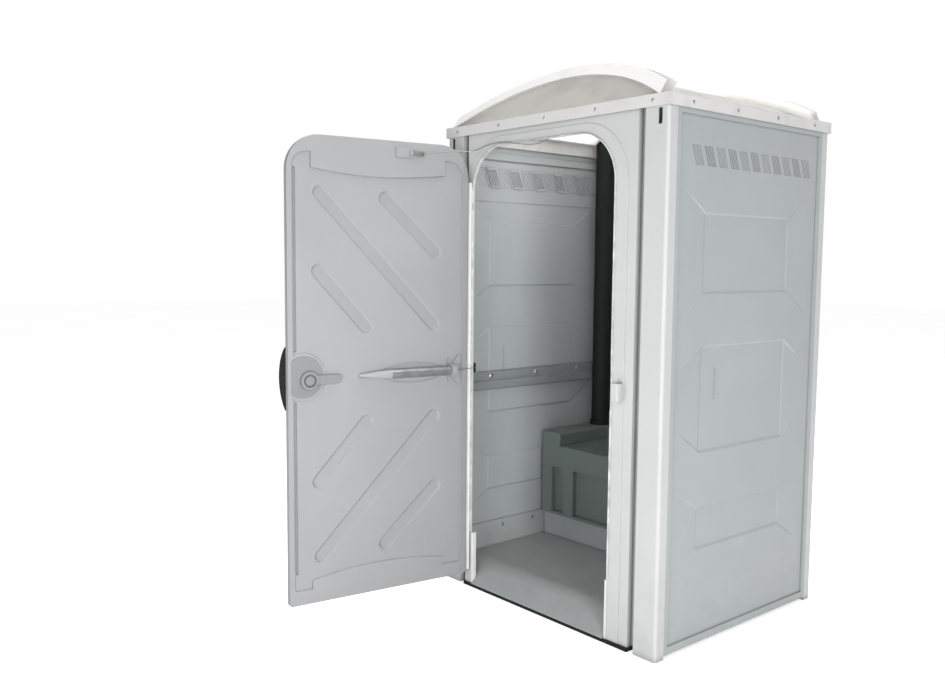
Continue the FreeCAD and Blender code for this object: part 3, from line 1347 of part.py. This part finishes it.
def bow(sketch, start, middle, half, radius):
    """A circle segment standing on the line x = start, bulging towards smaller x."""
    reach = math.sqrt(radius ** 2 - half ** 2)
    centre = Vector(start + reach, middle, 0)
    spread = math.asin(half / radius)
    curve = Part.Circle(centre, Vector(0, 0, 1), radius)
    sketch.addGeometry(Part.ArcOfCircle(curve, math.pi - spread, math.pi + spread))
    sketch.addGeometry(Part.LineSegment(Vector(start, middle - half, 0), Vector(start, middle + half, 0)))
    sketch.addConstraint(Sketcher.Constraint("Coincident", 0, 2, 1, 1))
    sketch.addConstraint(Sketcher.Constraint("Coincident", 1, 2, 0, 1))
    bind(sketch, "DistanceX", -1, 1, 1, 1, start)
    bind(sketch, "DistanceY", -1, 1, 1, 1, middle - half)
    bind(sketch, "DistanceX", -1, 1, 1, 2, start)
    bind(sketch, "DistanceY", -1, 1, 1, 2, middle + half)
    bind_radius(sketch, 0, radius)


# Door closer

def build_closer():
    """Spring tube on the door's inner face, with its bracket, nose, plunger and jamb anchor."""
    w, z = "dim.closer_w", "dim.closer_z"
    tube = new_body("closer_tube")
    pad(tube, "YZ", "dim.tube_start", "dim.tube_end - dim.tube_start", 1,
        ring(w, z, "dim.tube_radius", "dim.tube_radius - 3"))
    on_door(tube)
    cap = new_body("closer_end_cap")
    pad(cap, "YZ", "dim.tube_start - 4.2", 4, 1, ring(w, z, "dim.tube_radius", 3))
    pad(cap, "YZ", "dim.tube_start - 0.3", 9, 1, ring(w, z, "dim.tube_radius - 3.3", 3))
    on_door(cap)
    bracket = new_body("closer_bracket")
    floor = "dim.panel_floor + 0.2"
    pad(bracket, "XZ", floor, 5, 1,
        outline([(47, 952), (62, 952), (88, 985), (112, 962), (116, 990), (116, 1046), (112, 1074),
                 (88, 1051), (62, 1084), (47, 1084)]))
    pad(bracket, "XZ", floor, 53, 1, box(92, 116, z + " - 28", z + " + 28"))
    round_edges(bracket, 24, along("x", [("dim.panel_floor + 53.2", z + " - 28"),
                                         ("dim.panel_floor + 53.2", z + " + 28")]))
    pocket(bracket, "YZ", 40, 90, 1, disc(w, z, "dim.tube_radius + 0.3"))
    on_door(bracket)
    build_closer_nose(w, z)
    plunger = new_body("closer_plunger")
    pad(plunger, "YZ", 330, 12, 1, disc(w, z, "dim.tube_radius - 3.4"))
    round_edges(plunger, 2, in_plane("x", 342))
    on_door(plunger)
    spring = new_body("closer_spring")
    pad(spring, "YZ", 100, 229, 1, ring(w, z, 17, 12))
    on_door(spring)
    anchor = new_body("closer_anchor")
    pad(anchor, "XY", "dim.closer_z - 16", 40, 1,
        outline([("dim.opening_left - 32", -540.7), ("dim.opening_left - 4", -540.7),
                 ("dim.opening_left - 4", -524), ("dim.opening_left - 10", -518),
                 ("dim.opening_left - 32", -518)]))
    pocket(anchor, "XY", "dim.closer_z - 20", 60, 1,
           disc("dim.opening_left - 11", -531, 2))
    mouth = door_point(number("dim.tube_start") - 5.5, number(w), 1018)
    cable = [(-451.9, -526, 1022), (-448.5, -538, 1022), (-446, -553, 1021.5), (-447.2, -575, 1020.6),
             (-449.4, -598, 1019.6), mouth]
    coded_part("closer_cable", cord_tube(cable, 1.5, "closer cable"))


def build_closer_nose(w, z):
    """Tapered moulding that leads the tube's far end down into the door panel."""
    turn = FreeCAD.Rotation(Vector(0, 1, 0), 90)
    sections = []
    for name, u, radius, offset in (
            ("nose_mouth", "dim.tube_end + 0.4", "dim.tube_radius + 0.2", w),
            ("nose_waist", 480, "0.72 * dim.tube_radius", "0.62 * " + w),
            ("nose_tip", 553, 5, "dim.panel_floor + 2")):
        item = doc.addObject("Part::Circle", name)
        sections.append(item)
        item.Placement = FreeCAD.Placement(Vector(), turn)
        item.setExpression("Radius", str(radius))
        item.setExpression("Placement.Base.x", str(u))
        item.setExpression("Placement.Base.y", str(offset))
        item.setExpression("Placement.Base.z", z)
    cone = doc.addObject("Part::Loft", "nose_cone")
    cone.Sections = sections
    cone.Solid = True
    below = block("nose_floor", 300, 700, -80, "dim.panel_floor + 0.2", 900, 1100)
    on_door(keep(cut("closer_nose", cone, below), "closer_nose"))


def door_point(u, w, z):
    """World place of a point given along the open leaf, out from its inner face, and up."""
    angle = math.radians(number("dim.open_angle"))
    x = number("dim.hinge_x") + u * math.cos(angle) + w * math.sin(angle)
    y = number("dim.hinge_y") - u * math.sin(angle) + w * math.cos(angle)
    return (x, y, z)


# Door limiter

def build_limiter():
    """Wire that stops the door: a clip plate on the leaf, the wire, and its eye on the header."""
    plate = new_body("limiter_plate")
    pad(plate, "XZ", 0.2, 2.5, 1, box(296, 379, 1947, 1991))
    round_edges(plate, 5, along("y", [(296, 1947), (379, 1947), (296, 1991), (379, 1991)]))
    pad(plate, "XZ", 2.6, 5, 1, box(296, 312, 1959, 1979))
    round_edges(plate, 1.5, in_plane("y", 7.6))
    on_door(plate)
    clip = new_body("limiter_clip")
    pad(clip, "XZ", 1.2, 7, 1, lambda sketch: slot(sketch, (250, 1966), (284, 1969), 9))
    pocket(clip, "XZ", 0, 10, 1, lambda sketch: slot(sketch, (250, 1966), (262, 1967), 5))
    pad(clip, "XZ", 1.2, 7, 1, box(284, 295.5, 1964, 1974))
    pocket(clip, "YZ", 235, 12, 1, disc(4.35, 1967, 2.3))
    on_door(clip)
    eye = new_body("limiter_eye")
    pad(eye, "XZ", "-dim.frame_face + dim.band_skin + 0.3", 4, 1, box(-12, 20, 2011, 2036))
    pad(eye, "XY", 2011.5, 3, 1, box(-4, 12, -538, -527))
    start = door_point(248, 4, 1966)
    route = [start, door_point(205, 7, 1975), door_point(150, 9, 1984), door_point(96, 8, 1990),
             door_point(42, 7, 1993), (-441, -561, 1994), (-398, -558, 2003), (-350, -556.5, 2014),
             (-298, -556.5, 2019.5), (-244, -557.5, 2018), (-192, -557, 2010), (-142, -553, 2001),
             (-96, -543.5, 1995), (-54, -536, 1995), (-22, -533, 2002), (2, -532, 2009.5)]
    coded_part("limiter_wire", cord_tube(route, 1.5, "limiter wire"))


def check_and_write():
    """Recompute, refuse any failed object, and write each sub-part to its own file."""
    doc.recompute()
    faults = []
    for item in doc.Objects:
        if "Invalid" in item.State or "Error" in item.State:
            faults.append("failed: %s (%s) %s" % (item.Name, item.Label, item.getStatusString()))
        if item.TypeId in ("PartDesign::Pocket", "PartDesign::SubtractiveLoft"):
            owner = item.getParentGeoFeatureGroup().Label
            if item.Shape.isNull() or item.BaseFeature.Shape.isNull():
                faults.append("empty: %s in %s" % (item.Name, owner))
            elif item.BaseFeature.Shape.Volume - item.Shape.Volume < 1:
                faults.append("cuts nothing: %s in %s" % (item.Name, owner))
    for item in PARTS:
        if item.Shape.isNull() or not item.Shape.isValid():
            faults.append("bad shape: " + item.Label)
    if faults:
        raise RuntimeError("\n".join(faults))
    os.makedirs("parts", exist_ok=True)
    for item in PARTS:
        item.Shape.exportStep("parts/%s.step" % item.Label)
        print("%-20s solids %d volume %.0f" % (item.Label, len(item.Shape.Solids), item.Shape.Volume))
    print("%d parts" % len(PARTS))


build_base()
build_floor_pan()
build_pan_rivets()
mirrored(build_side_wall(), "right_wall")
build_rear_wall()
build_posts()
build_rails()
build_door_frame()
build_door_seal()
build_jamb_feet()
build_roof()
build_roof_rivets()
build_pipe()
build_tank()
build_seat()
build_paper_holder()
build_inner_skin()
build_outer_skin()
build_hinge()
build_latch()
build_handle()
build_closer()
build_limiter()
check_and_write()
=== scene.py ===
"""Looks of a portable toilet cabin with its door open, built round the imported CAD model."""

import json
import math

import bpy
from mathutils import Matrix, Vector


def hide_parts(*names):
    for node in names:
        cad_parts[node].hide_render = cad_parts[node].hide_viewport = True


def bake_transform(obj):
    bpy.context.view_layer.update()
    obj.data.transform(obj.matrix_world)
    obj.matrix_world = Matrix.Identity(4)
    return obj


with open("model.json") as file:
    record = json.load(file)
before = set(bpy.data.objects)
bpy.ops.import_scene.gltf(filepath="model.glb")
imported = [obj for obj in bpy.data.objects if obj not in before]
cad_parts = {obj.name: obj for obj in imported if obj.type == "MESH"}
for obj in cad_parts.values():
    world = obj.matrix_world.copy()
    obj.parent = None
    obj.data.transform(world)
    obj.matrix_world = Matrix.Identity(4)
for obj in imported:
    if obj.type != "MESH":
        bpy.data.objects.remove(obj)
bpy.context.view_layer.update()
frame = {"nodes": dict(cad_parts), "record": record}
NODES = frame["nodes"]

MM = 0.001
WIRE_DIAMETER = 3 * MM
STRAND_SIDES = 6
FLOOR_REACH = 30.0
IMAGE_WIDTH = 945

# Camera solved from the photograph: focal length in pixels of its width, sensor in millimetres

FOCAL_LENGTH = 918.8
SENSOR_WIDTH = 36


# Door geometry, as in the CAD source: the hinge axis and how far the leaf stands open

HINGE = Vector((-461, -555, 0)) * MM
OPEN_ANGLE = math.radians(98)


def door_point(u, w, z):
    """Place of a point given along the open leaf, out from its inner face, and up, in millimetres."""
    turn = Matrix.Rotation(-OPEN_ANGLE, 3, "Z")
    return HINGE + turn @ (Vector((u, w, z)) * MM)


# Node-based materials

class Shader:
    """A material's node tree with short calls for what the finishes here need."""

    def __init__(self, name):
        self.material = bpy.data.materials.new(name)
        self.material.use_nodes = True
        self.nodes = self.material.node_tree.nodes
        self.links = self.material.node_tree.links
        self.shader = self.nodes["Principled BSDF"]
        self.output = self.nodes["Material Output"]
        self.place = self.nodes.new("ShaderNodeTexCoord").outputs["Object"]

    def link(self, source, target):
        self.links.new(source, target)

    def scaled(self, stretch):
        mapping = self.nodes.new("ShaderNodeMapping")
        mapping.inputs["Scale"].default_value = stretch
        self.link(self.place, mapping.inputs["Vector"])
        return mapping.outputs["Vector"]

    def noise(self, scale, detail=3.0, stretch=None, roughness=0.55):
        node = self.nodes.new("ShaderNodeTexNoise")
        node.inputs["Scale"].default_value = scale
        node.inputs["Detail"].default_value = detail
        node.inputs["Roughness"].default_value = roughness
        self.link(self.scaled(stretch) if stretch else self.place, node.inputs["Vector"])
        return node.outputs["Fac"]

    def ramp(self, factor, low, high, first=0.0, last=1.0):
        """Maps factor from low..high onto first..last, clamped."""
        node = self.nodes.new("ShaderNodeMapRange")
        node.inputs["From Min"].default_value = low
        node.inputs["From Max"].default_value = high
        node.inputs["To Min"].default_value = first
        node.inputs["To Max"].default_value = last
        self.link(factor, node.inputs["Value"])
        return node.outputs["Result"]

    def math(self, operation, first, second=0.0):
        node = self.nodes.new("ShaderNodeMath")
        node.operation = operation
        for socket, value in zip(node.inputs, (first, second)):
            if isinstance(value, (int, float)):
                socket.default_value = value
            else:
                self.link(value, socket)
        return node.outputs["Value"]

    def mix(self, factor, first, second):
        node = self.nodes.new("ShaderNodeMix")
        node.data_type = "RGBA"
        self.link(factor, node.inputs["Factor"])
        for socket, value in ((node.inputs[6], first), (node.inputs[7], second)):
            if isinstance(value, (tuple, list)):
                socket.default_value = (*value[:3], 1)
            else:
                self.link(value, socket)
        return node.outputs[2]

    def coordinates(self):
        split = self.nodes.new("ShaderNodeSeparateXYZ")
        self.link(self.place, split.inputs["Vector"])
        return split.outputs["X"], split.outputs["Y"], split.outputs["Z"]

    def dimmed(self, color, factor):
        """A colour scaled by a factor socket."""
        node = self.nodes.new("ShaderNodeVectorMath")
        node.operation = "SCALE"
        self.link(color, node.inputs[0])
        self.link(factor, node.inputs["Scale"])
        return node.outputs["Vector"]

    def bump(self, height, strength, distance, normal=None):
        node = self.nodes.new("ShaderNodeBump")
        node.inputs["Strength"].default_value = strength
        node.inputs["Distance"].default_value = distance
        self.link(height, node.inputs["Height"])
        if normal is not None:
            self.link(normal, node.inputs["Normal"])
        return node.outputs["Normal"]

    def bevel(self, radius):
        node = self.nodes.new("ShaderNodeBevel")
        node.samples = 4
        node.inputs["Radius"].default_value = radius
        return node.outputs["Normal"]

    def crevice(self, reach):
        """Nearly 0 deep in grooves and corners, 1 on open faces."""
        node = self.nodes.new("ShaderNodeAmbientOcclusion")
        node.samples = 8
        node.inputs["Distance"].default_value = reach
        return node.outputs["AO"]


def shade(color, factor):
    return tuple(min(1.0, channel * factor) for channel in color)


def moulded_plastic(name, color, roughness=0.42, peel=0.12, soil=0.25, soft_edge=0.0012, scuff=0.3,
                    shine=0.42, grime_and_crease_shade=0.5, reach=0.012):
    """Polyethylene from a mould: orange peel, cloudy tint, faint scuffs, soil low down, and painted shade
    darkening its creases and corners.
    """
    s = Shader(name)
    cloudy = s.noise(2.3, 4)
    base = s.mix(s.ramp(cloudy, 0.3, 0.7), shade(color, 0.96), shade(color, 1.03))
    scratches = s.ramp(s.noise(9, 6, (1, 1, 7)), 0.60, 0.74)
    patches = s.ramp(s.noise(3.1, 3), 0.45, 0.7)
    worn = s.math("MULTIPLY", s.math("MULTIPLY", scratches, patches), scuff)
    base = s.mix(worn, base, shade(color, 0.82))
    low = s.ramp(s.coordinates()[2], 0.02, 0.55, 1.0, 0.0)
    splash = s.ramp(s.noise(11, 5), 0.42, 0.72)
    dirt = s.math("MULTIPLY", s.math("MULTIPLY", low, splash), soil)
    base = s.mix(dirt, base, (0.20, 0.185, 0.16))
    # Painted shade: ambient occlusion darkens the colour in creases, grooves and corners.
    if grime_and_crease_shade:
        base = s.dimmed(base, s.ramp(s.crevice(reach), 0.3, 0.9, 1.0 - grime_and_crease_shade, 1.0))
    s.link(base, s.shader.inputs["Base Color"])
    gloss = s.ramp(s.noise(14, 4), 0.3, 0.7, roughness - 0.05, roughness + 0.08)
    s.link(s.math("ADD", gloss, s.math("MULTIPLY", worn, 0.3)), s.shader.inputs["Roughness"])
    fine = s.bump(s.noise(420, 2), peel, 0.0006, s.bevel(soft_edge) if soft_edge else None)
    waves = s.bump(s.noise(5.5, 2), 0.22, 0.004, fine)
    s.link(waves, s.shader.inputs["Normal"])
    s.shader.inputs["Specular IOR Level"].default_value = shine
    return s.material


def roof_finish(name, thick_color, thin_color):
    """White roof moulding: solid in its rims and flange, thin enough elsewhere for daylight."""
    s = Shader(name)
    across, depth, up = s.coordinates()
    lean = s.math("ADD", s.math("ABSOLUTE", depth), s.math("MULTIPLY", s.math("SUBTRACT", up, 2.115), 0.8))
    behind_rims = s.ramp(lean, 0.547, 0.550, 1.0, 0.0)
    thin = s.math("MULTIPLY", behind_rims, s.ramp(up, 2.1155, 2.1185))
    cloudy = s.ramp(s.noise(3.0, 4), 0.3, 0.7, 0.96, 1.02)
    grime_and_crease_shade = s.ramp(s.noise(6, 6, (1, 3, 1)), 0.5, 0.8, 1.0, 0.88)
    base = s.mix(thin, thick_color, thin_color)
    base = s.dimmed(base, s.math("MULTIPLY", cloudy, grime_and_crease_shade))
    s.link(base, s.shader.inputs["Base Color"])
    s.link(s.ramp(s.noise(14, 4), 0.3, 0.7, 0.40, 0.52), s.shader.inputs["Roughness"])
    normal = s.bump(s.noise(300, 2), 0.1, 0.0006, s.bevel(0.0015))
    s.link(normal, s.shader.inputs["Normal"])
    glow = s.nodes.new("ShaderNodeBsdfTranslucent")
    s.link(base, glow.inputs["Color"])
    blend = s.nodes.new("ShaderNodeMixShader")
    share = s.ramp(lean, 0.534, 0.537, 0.8, 0.9)
    s.link(s.math("MULTIPLY", thin, share), blend.inputs["Fac"])
    s.link(s.shader.outputs["BSDF"], blend.inputs[1])
    s.link(glow.outputs["BSDF"], blend.inputs[2])
    s.link(blend.outputs["Shader"], s.output.inputs["Surface"])
    return s.material


def brushed_metal(name, color, roughness=0.35, stretch=(1, 1, 40), metallic=1.0):
    """Drawn or plated metal with fine lines and duller patches."""
    s = Shader(name)
    lines = s.noise(90, 5, stretch)
    dull = s.ramp(s.noise(18, 4), 0.4, 0.7)
    base = s.mix(dull, color, shade(color, 0.78))
    s.link(base, s.shader.inputs["Base Color"])
    s.link(s.ramp(lines, 0.3, 0.7, roughness - 0.08, roughness + 0.12), s.shader.inputs["Roughness"])
    s.shader.inputs["Metallic"].default_value = metallic
    s.link(s.bump(lines, 0.12, 0.0003, s.bevel(0.0006)), s.shader.inputs["Normal"])
    return s.material


def soft_rubber(name, color):
    s = Shader(name)
    base = s.mix(s.ramp(s.noise(25, 4), 0.35, 0.7), shade(color, 0.8), shade(color, 1.35))
    s.link(base, s.shader.inputs["Base Color"])
    s.link(s.ramp(s.noise(60, 3), 0.3, 0.7, 0.6, 0.8), s.shader.inputs["Roughness"])
    s.link(s.bump(s.noise(600, 2), 0.2, 0.0004), s.shader.inputs["Normal"])
    return s.material


def paper(name, color):
    """Crêped tissue in wound layers."""
    s = Shader(name)
    base = s.mix(s.ramp(s.noise(60, 3), 0.3, 0.7), shade(color, 0.94), color)
    s.link(base, s.shader.inputs["Base Color"])
    s.shader.inputs["Roughness"].default_value = 0.95
    crepe = s.noise(500, 3, (1, 0.25, 1))
    s.link(s.bump(crepe, 0.5, 0.0008), s.shader.inputs["Normal"])
    return s.material


DOOR_GREY = (0.375, 0.382, 0.392)
WALL_GREY = (0.430, 0.458, 0.466)
RAIL_GREY = (0.265, 0.288, 0.290)
LIGHT_GREY = (0.600, 0.610, 0.610)
JAMB_WHITE = (0.83, 0.83, 0.82)
PLATE_GREY = (0.270, 0.285, 0.295)
ROOF_WHITE = (0.70, 0.695, 0.685)
THIN_WHITE = (0.95, 0.94, 0.92)
FLOOR_GREY = (0.400, 0.420, 0.420)
TANK_GREY = (0.165, 0.195, 0.186)
NEAR_BLACK = (0.016, 0.020, 0.018)

FINISH = {
    "wall_plastic": moulded_plastic("wall_plastic", WALL_GREY, soil=0.12),
    "door_plastic": moulded_plastic("door_plastic", DOOR_GREY, soil=0.08),
    "light_plastic": moulded_plastic("light_plastic", LIGHT_GREY, soil=0.12, reach=0.04),
    "white_plastic": moulded_plastic("white_plastic", JAMB_WHITE, soil=0.2, grime_and_crease_shade=0.3),
    "rail_plastic": moulded_plastic("rail_plastic", RAIL_GREY, soil=0.0, grime_and_crease_shade=0.2),
    "plate_plastic": moulded_plastic("plate_plastic", PLATE_GREY, soil=0.0),
    "roof_plastic": roof_finish("roof_plastic", ROOF_WHITE, THIN_WHITE),
    "floor_plastic": moulded_plastic("floor_plastic", FLOOR_GREY, 0.48, 0.2, 0.18, scuff=0.5),
    "tank_plastic": moulded_plastic("tank_plastic", TANK_GREY, 0.36, 0.15, 0.0, grime_and_crease_shade=0.25),
    "dark_plastic": moulded_plastic("dark_plastic", NEAR_BLACK, 0.55, 0.2, 0.05, 0.001, shine=0.15),
    "seal_rubber": soft_rubber("seal_rubber", (0.05, 0.05, 0.05)),
    "grey_rubber": soft_rubber("grey_rubber", (0.58, 0.59, 0.59)),
    "tube_metal": brushed_metal("tube_finish", (0.36, 0.38, 0.39), 0.4, (40, 1, 40), 0.6),
    "steel": brushed_metal("plated_steel", (0.55, 0.55, 0.54)),
    "paper": paper("tissue_paper", (0.86, 0.85, 0.82)),
}
limiter_steel = brushed_metal("limiter_steel", (0.50, 0.49, 0.46), 0.38, (1, 1, 1))
closer_steel = brushed_metal("closer_steel", (0.50, 0.43, 0.28), 0.42, (1, 1, 1))


def finish_nodes():
    """Give each CAD node the finish of its material slot."""
    for part in frame["record"]["subparts"]:
        mesh = NODES[part["node"]].data
        mesh.materials.clear()
        mesh.materials.append(FINISH[part["material_slot"]])


finish_nodes()


# Camera: place and aim solved from the photograph's straight edges

def aim_camera():
    data = bpy.data.cameras.new("camera")
    data.sensor_width = SENSOR_WIDTH
    data.lens = FOCAL_LENGTH * SENSOR_WIDTH / IMAGE_WIDTH
    camera = bpy.data.objects.new("camera", data)
    bpy.context.scene.collection.objects.link(camera)
    yaw, pitch, roll = math.radians(49.85), math.radians(-5.14), math.radians(0.47)
    forward = Vector((-math.sin(yaw) * math.cos(pitch), math.cos(yaw) * math.cos(pitch), math.sin(pitch)))
    right = Vector((math.cos(yaw), math.sin(yaw), 0))
    up = right.cross(forward)
    level = Matrix((right, up, -forward)).transposed()
    camera.matrix_world = (level @ Matrix.Rotation(roll, 3, "Z")).to_4x4()
    camera.location = (2.737, -3.236, 1.500)
    bpy.context.scene.camera = camera


aim_camera()


# Wires between the cabin and the door

def wire_mesh(name, points, diameter, strands, material):
    """A twisted steel wire along one smooth line through the route's points."""
    curve = bpy.data.curves.new(name + "_route", "CURVE")
    curve.dimensions = "3D"
    spline = curve.splines.new("NURBS")
    spline.points.add(len(points) - 1)
    for point, place in zip(spline.points, points):
        point.co = (*place, 1)
    spline.order_u = 3
    spline.use_endpoint_u = True
    spline.resolution_u = 24
    guide = bpy.data.objects.new(name + "_guide", curve)
    bpy.context.scene.collection.objects.link(guide)
    line = bpy.data.meshes.new_from_object(guide)
    path = [vertex.co.copy() for vertex in line.vertices]
    bpy.data.objects.remove(guide)
    pitch = 9 * diameter
    strand_radius = diameter * 0.24
    offset = diameter * 0.26
    vertices = []
    faces = []
    sides = STRAND_SIDES
    side = Vector((0, 0, 1))
    travelled = 0.0
    rings = []
    for index, place in enumerate(path):
        ahead = path[min(index + 1, len(path) - 1)]
        behind = path[max(index - 1, 0)]
        tangent = (ahead - behind).normalized()
        side = (side - tangent * side.dot(tangent)).normalized()
        if index:
            travelled += (place - path[index - 1]).length
        rings.append((place, tangent, side.copy(), travelled))
    for strand in range(strands):
        start = len(vertices)
        for place, tangent, side, travelled in rings:
            angle = math.tau * (travelled / pitch + strand / strands)
            other = tangent.cross(side)
            centre = place + offset * (math.cos(angle) * side + math.sin(angle) * other)
            for k in range(sides):
                around = math.tau * k / sides
                vertices.append(centre + strand_radius * (math.cos(around) * side + math.sin(around) * other))
        for ring in range(len(rings) - 1):
            for k in range(sides):
                first = start + ring * sides + k
                second = start + ring * sides + (k + 1) % sides
                faces.append((first, second, second + sides, first + sides))
        faces.append([start + k for k in range(sides)][::-1])
        faces.append([start + (len(rings) - 1) * sides + k for k in range(sides)])
    return place_mesh(name, vertices, faces, material)


def place_mesh(name, vertices, faces, material, smooth=True):
    mesh = bpy.data.meshes.new(name)
    mesh.from_pydata([tuple(v) for v in vertices], [], faces)
    mesh.validate()
    mesh.polygons.foreach_set("use_smooth", [smooth] * len(mesh.polygons))
    mesh.materials.append(material)
    item = bpy.data.objects.new(name, mesh)
    bpy.context.scene.collection.objects.link(item)
    return item


def build_wires():
    """The door limiter's wire and the closer's wire, routed for the door as it stands open."""
    limiter_route = [
        door_point(248, 4, 1966), door_point(205, 7, 1975), door_point(150, 9, 1984),
        door_point(96, 8, 1990), door_point(42, 7, 1993)]
    limiter_route += [Vector(place) * MM for place in (
        (-441, -561, 1994), (-398, -558, 2003), (-350, -556.5, 2014), (-298, -556.5, 2019.5),
        (-244, -557.5, 2018), (-192, -557, 2010), (-142, -553, 2001), (-96, -543.5, 1995),
        (-54, -536, 1995), (-22, -533, 2002), (2, -532, 2009.5))]
    limiter = wire_mesh("limiter_steel_wire", limiter_route, WIRE_DIAMETER, 5, limiter_steel)
    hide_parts("limiter_wire")
    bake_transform(limiter)
    closer_route = [Vector(place) * MM for place in (
        (-451.9, -526, 1022), (-448.5, -538, 1022), (-446, -553, 1021.5), (-447.2, -575, 1020.6),
        (-449.4, -598, 1019.6))]
    closer_route.append(door_point(84.5, 20.5, 1018))
    closer = wire_mesh("closer_steel_wire", closer_route, WIRE_DIAMETER, 5, closer_steel)
    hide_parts("closer_cable")
    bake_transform(closer)


build_wires()


# Studio: pale floor, white backdrop and soft lamps

def build_studio():
    reach = FLOOR_REACH
    corners = [(-reach, -reach, 0), (reach, -reach, 0), (reach, reach, 0), (-reach, reach, 0)]
    floor = place_mesh("floor", corners, [(0, 1, 2, 3)], floor_paint(), False)
    world = bpy.data.worlds.new("studio")
    bpy.context.scene.world = world
    world.use_nodes = True
    nodes, links = world.node_tree.nodes, world.node_tree.links
    light = nodes["Background"]
    light.inputs["Color"].default_value = (1, 1, 1, 1)
    light.inputs["Strength"].default_value = 0.36
    backdrop = nodes.new("ShaderNodeBackground")
    backdrop.inputs["Color"].default_value = (1, 1, 1, 1)
    backdrop.inputs["Strength"].default_value = 1.0
    path = nodes.new("ShaderNodeLightPath")
    blend = nodes.new("ShaderNodeMixShader")
    links.new(path.outputs["Is Camera Ray"], blend.inputs["Fac"])
    links.new(light.outputs["Background"], blend.inputs[1])
    links.new(backdrop.outputs["Background"], blend.inputs[2])
    links.new(blend.outputs["Shader"], nodes["World Output"].inputs["Surface"])
    soft_lamp("key", (8.2, -5.0, 1.3), (-0.5, -0.6, 1.1), 2.2, 400)
    soft_lamp("front", (1.3, -3.4, 0.9), (-0.4, 0.0, 1.5), 1.2, 35)
    soft_lamp("top", (0.0, 0.6, 6.0), (0.0, 0.0, 2.0), 3.0, 300)


def floor_paint():
    """Pale floor that shows as white round the object and still takes its shadow."""
    s = Shader("floor_paint")
    s.shader.inputs["Roughness"].default_value = 0.9
    s.link(s.mix(s.ramp(s.noise(0.7, 2), 0.3, 0.7), (0.86, 0.86, 0.86), (0.9, 0.9, 0.9)),
           s.shader.inputs["Base Color"])
    glow = s.nodes.new("ShaderNodeEmission")
    path = s.nodes.new("ShaderNodeLightPath")
    s.link(s.math("MULTIPLY", path.outputs["Is Camera Ray"], 0.66), glow.inputs["Strength"])
    both = s.nodes.new("ShaderNodeAddShader")
    s.link(s.shader.outputs["BSDF"], both.inputs[0])
    s.link(glow.outputs["Emission"], both.inputs[1])
    s.link(both.outputs["Shader"], s.output.inputs["Surface"])
    return s.material


def soft_lamp(name, place, target, size, power):
    data = bpy.data.lights.new(name, "AREA")
    data.shape = "DISK"
    data.size = size
    data.energy = power
    lamp = bpy.data.objects.new(name, data)
    bpy.context.scene.collection.objects.link(lamp)
    lamp.location = place
    lamp.rotation_mode = "QUATERNION"
    lamp.rotation_quaternion = (Vector(target) - Vector(place)).to_track_quat("-Z", "Y")


build_studio()
bpy.context.scene.view_settings.view_transform = "Standard"
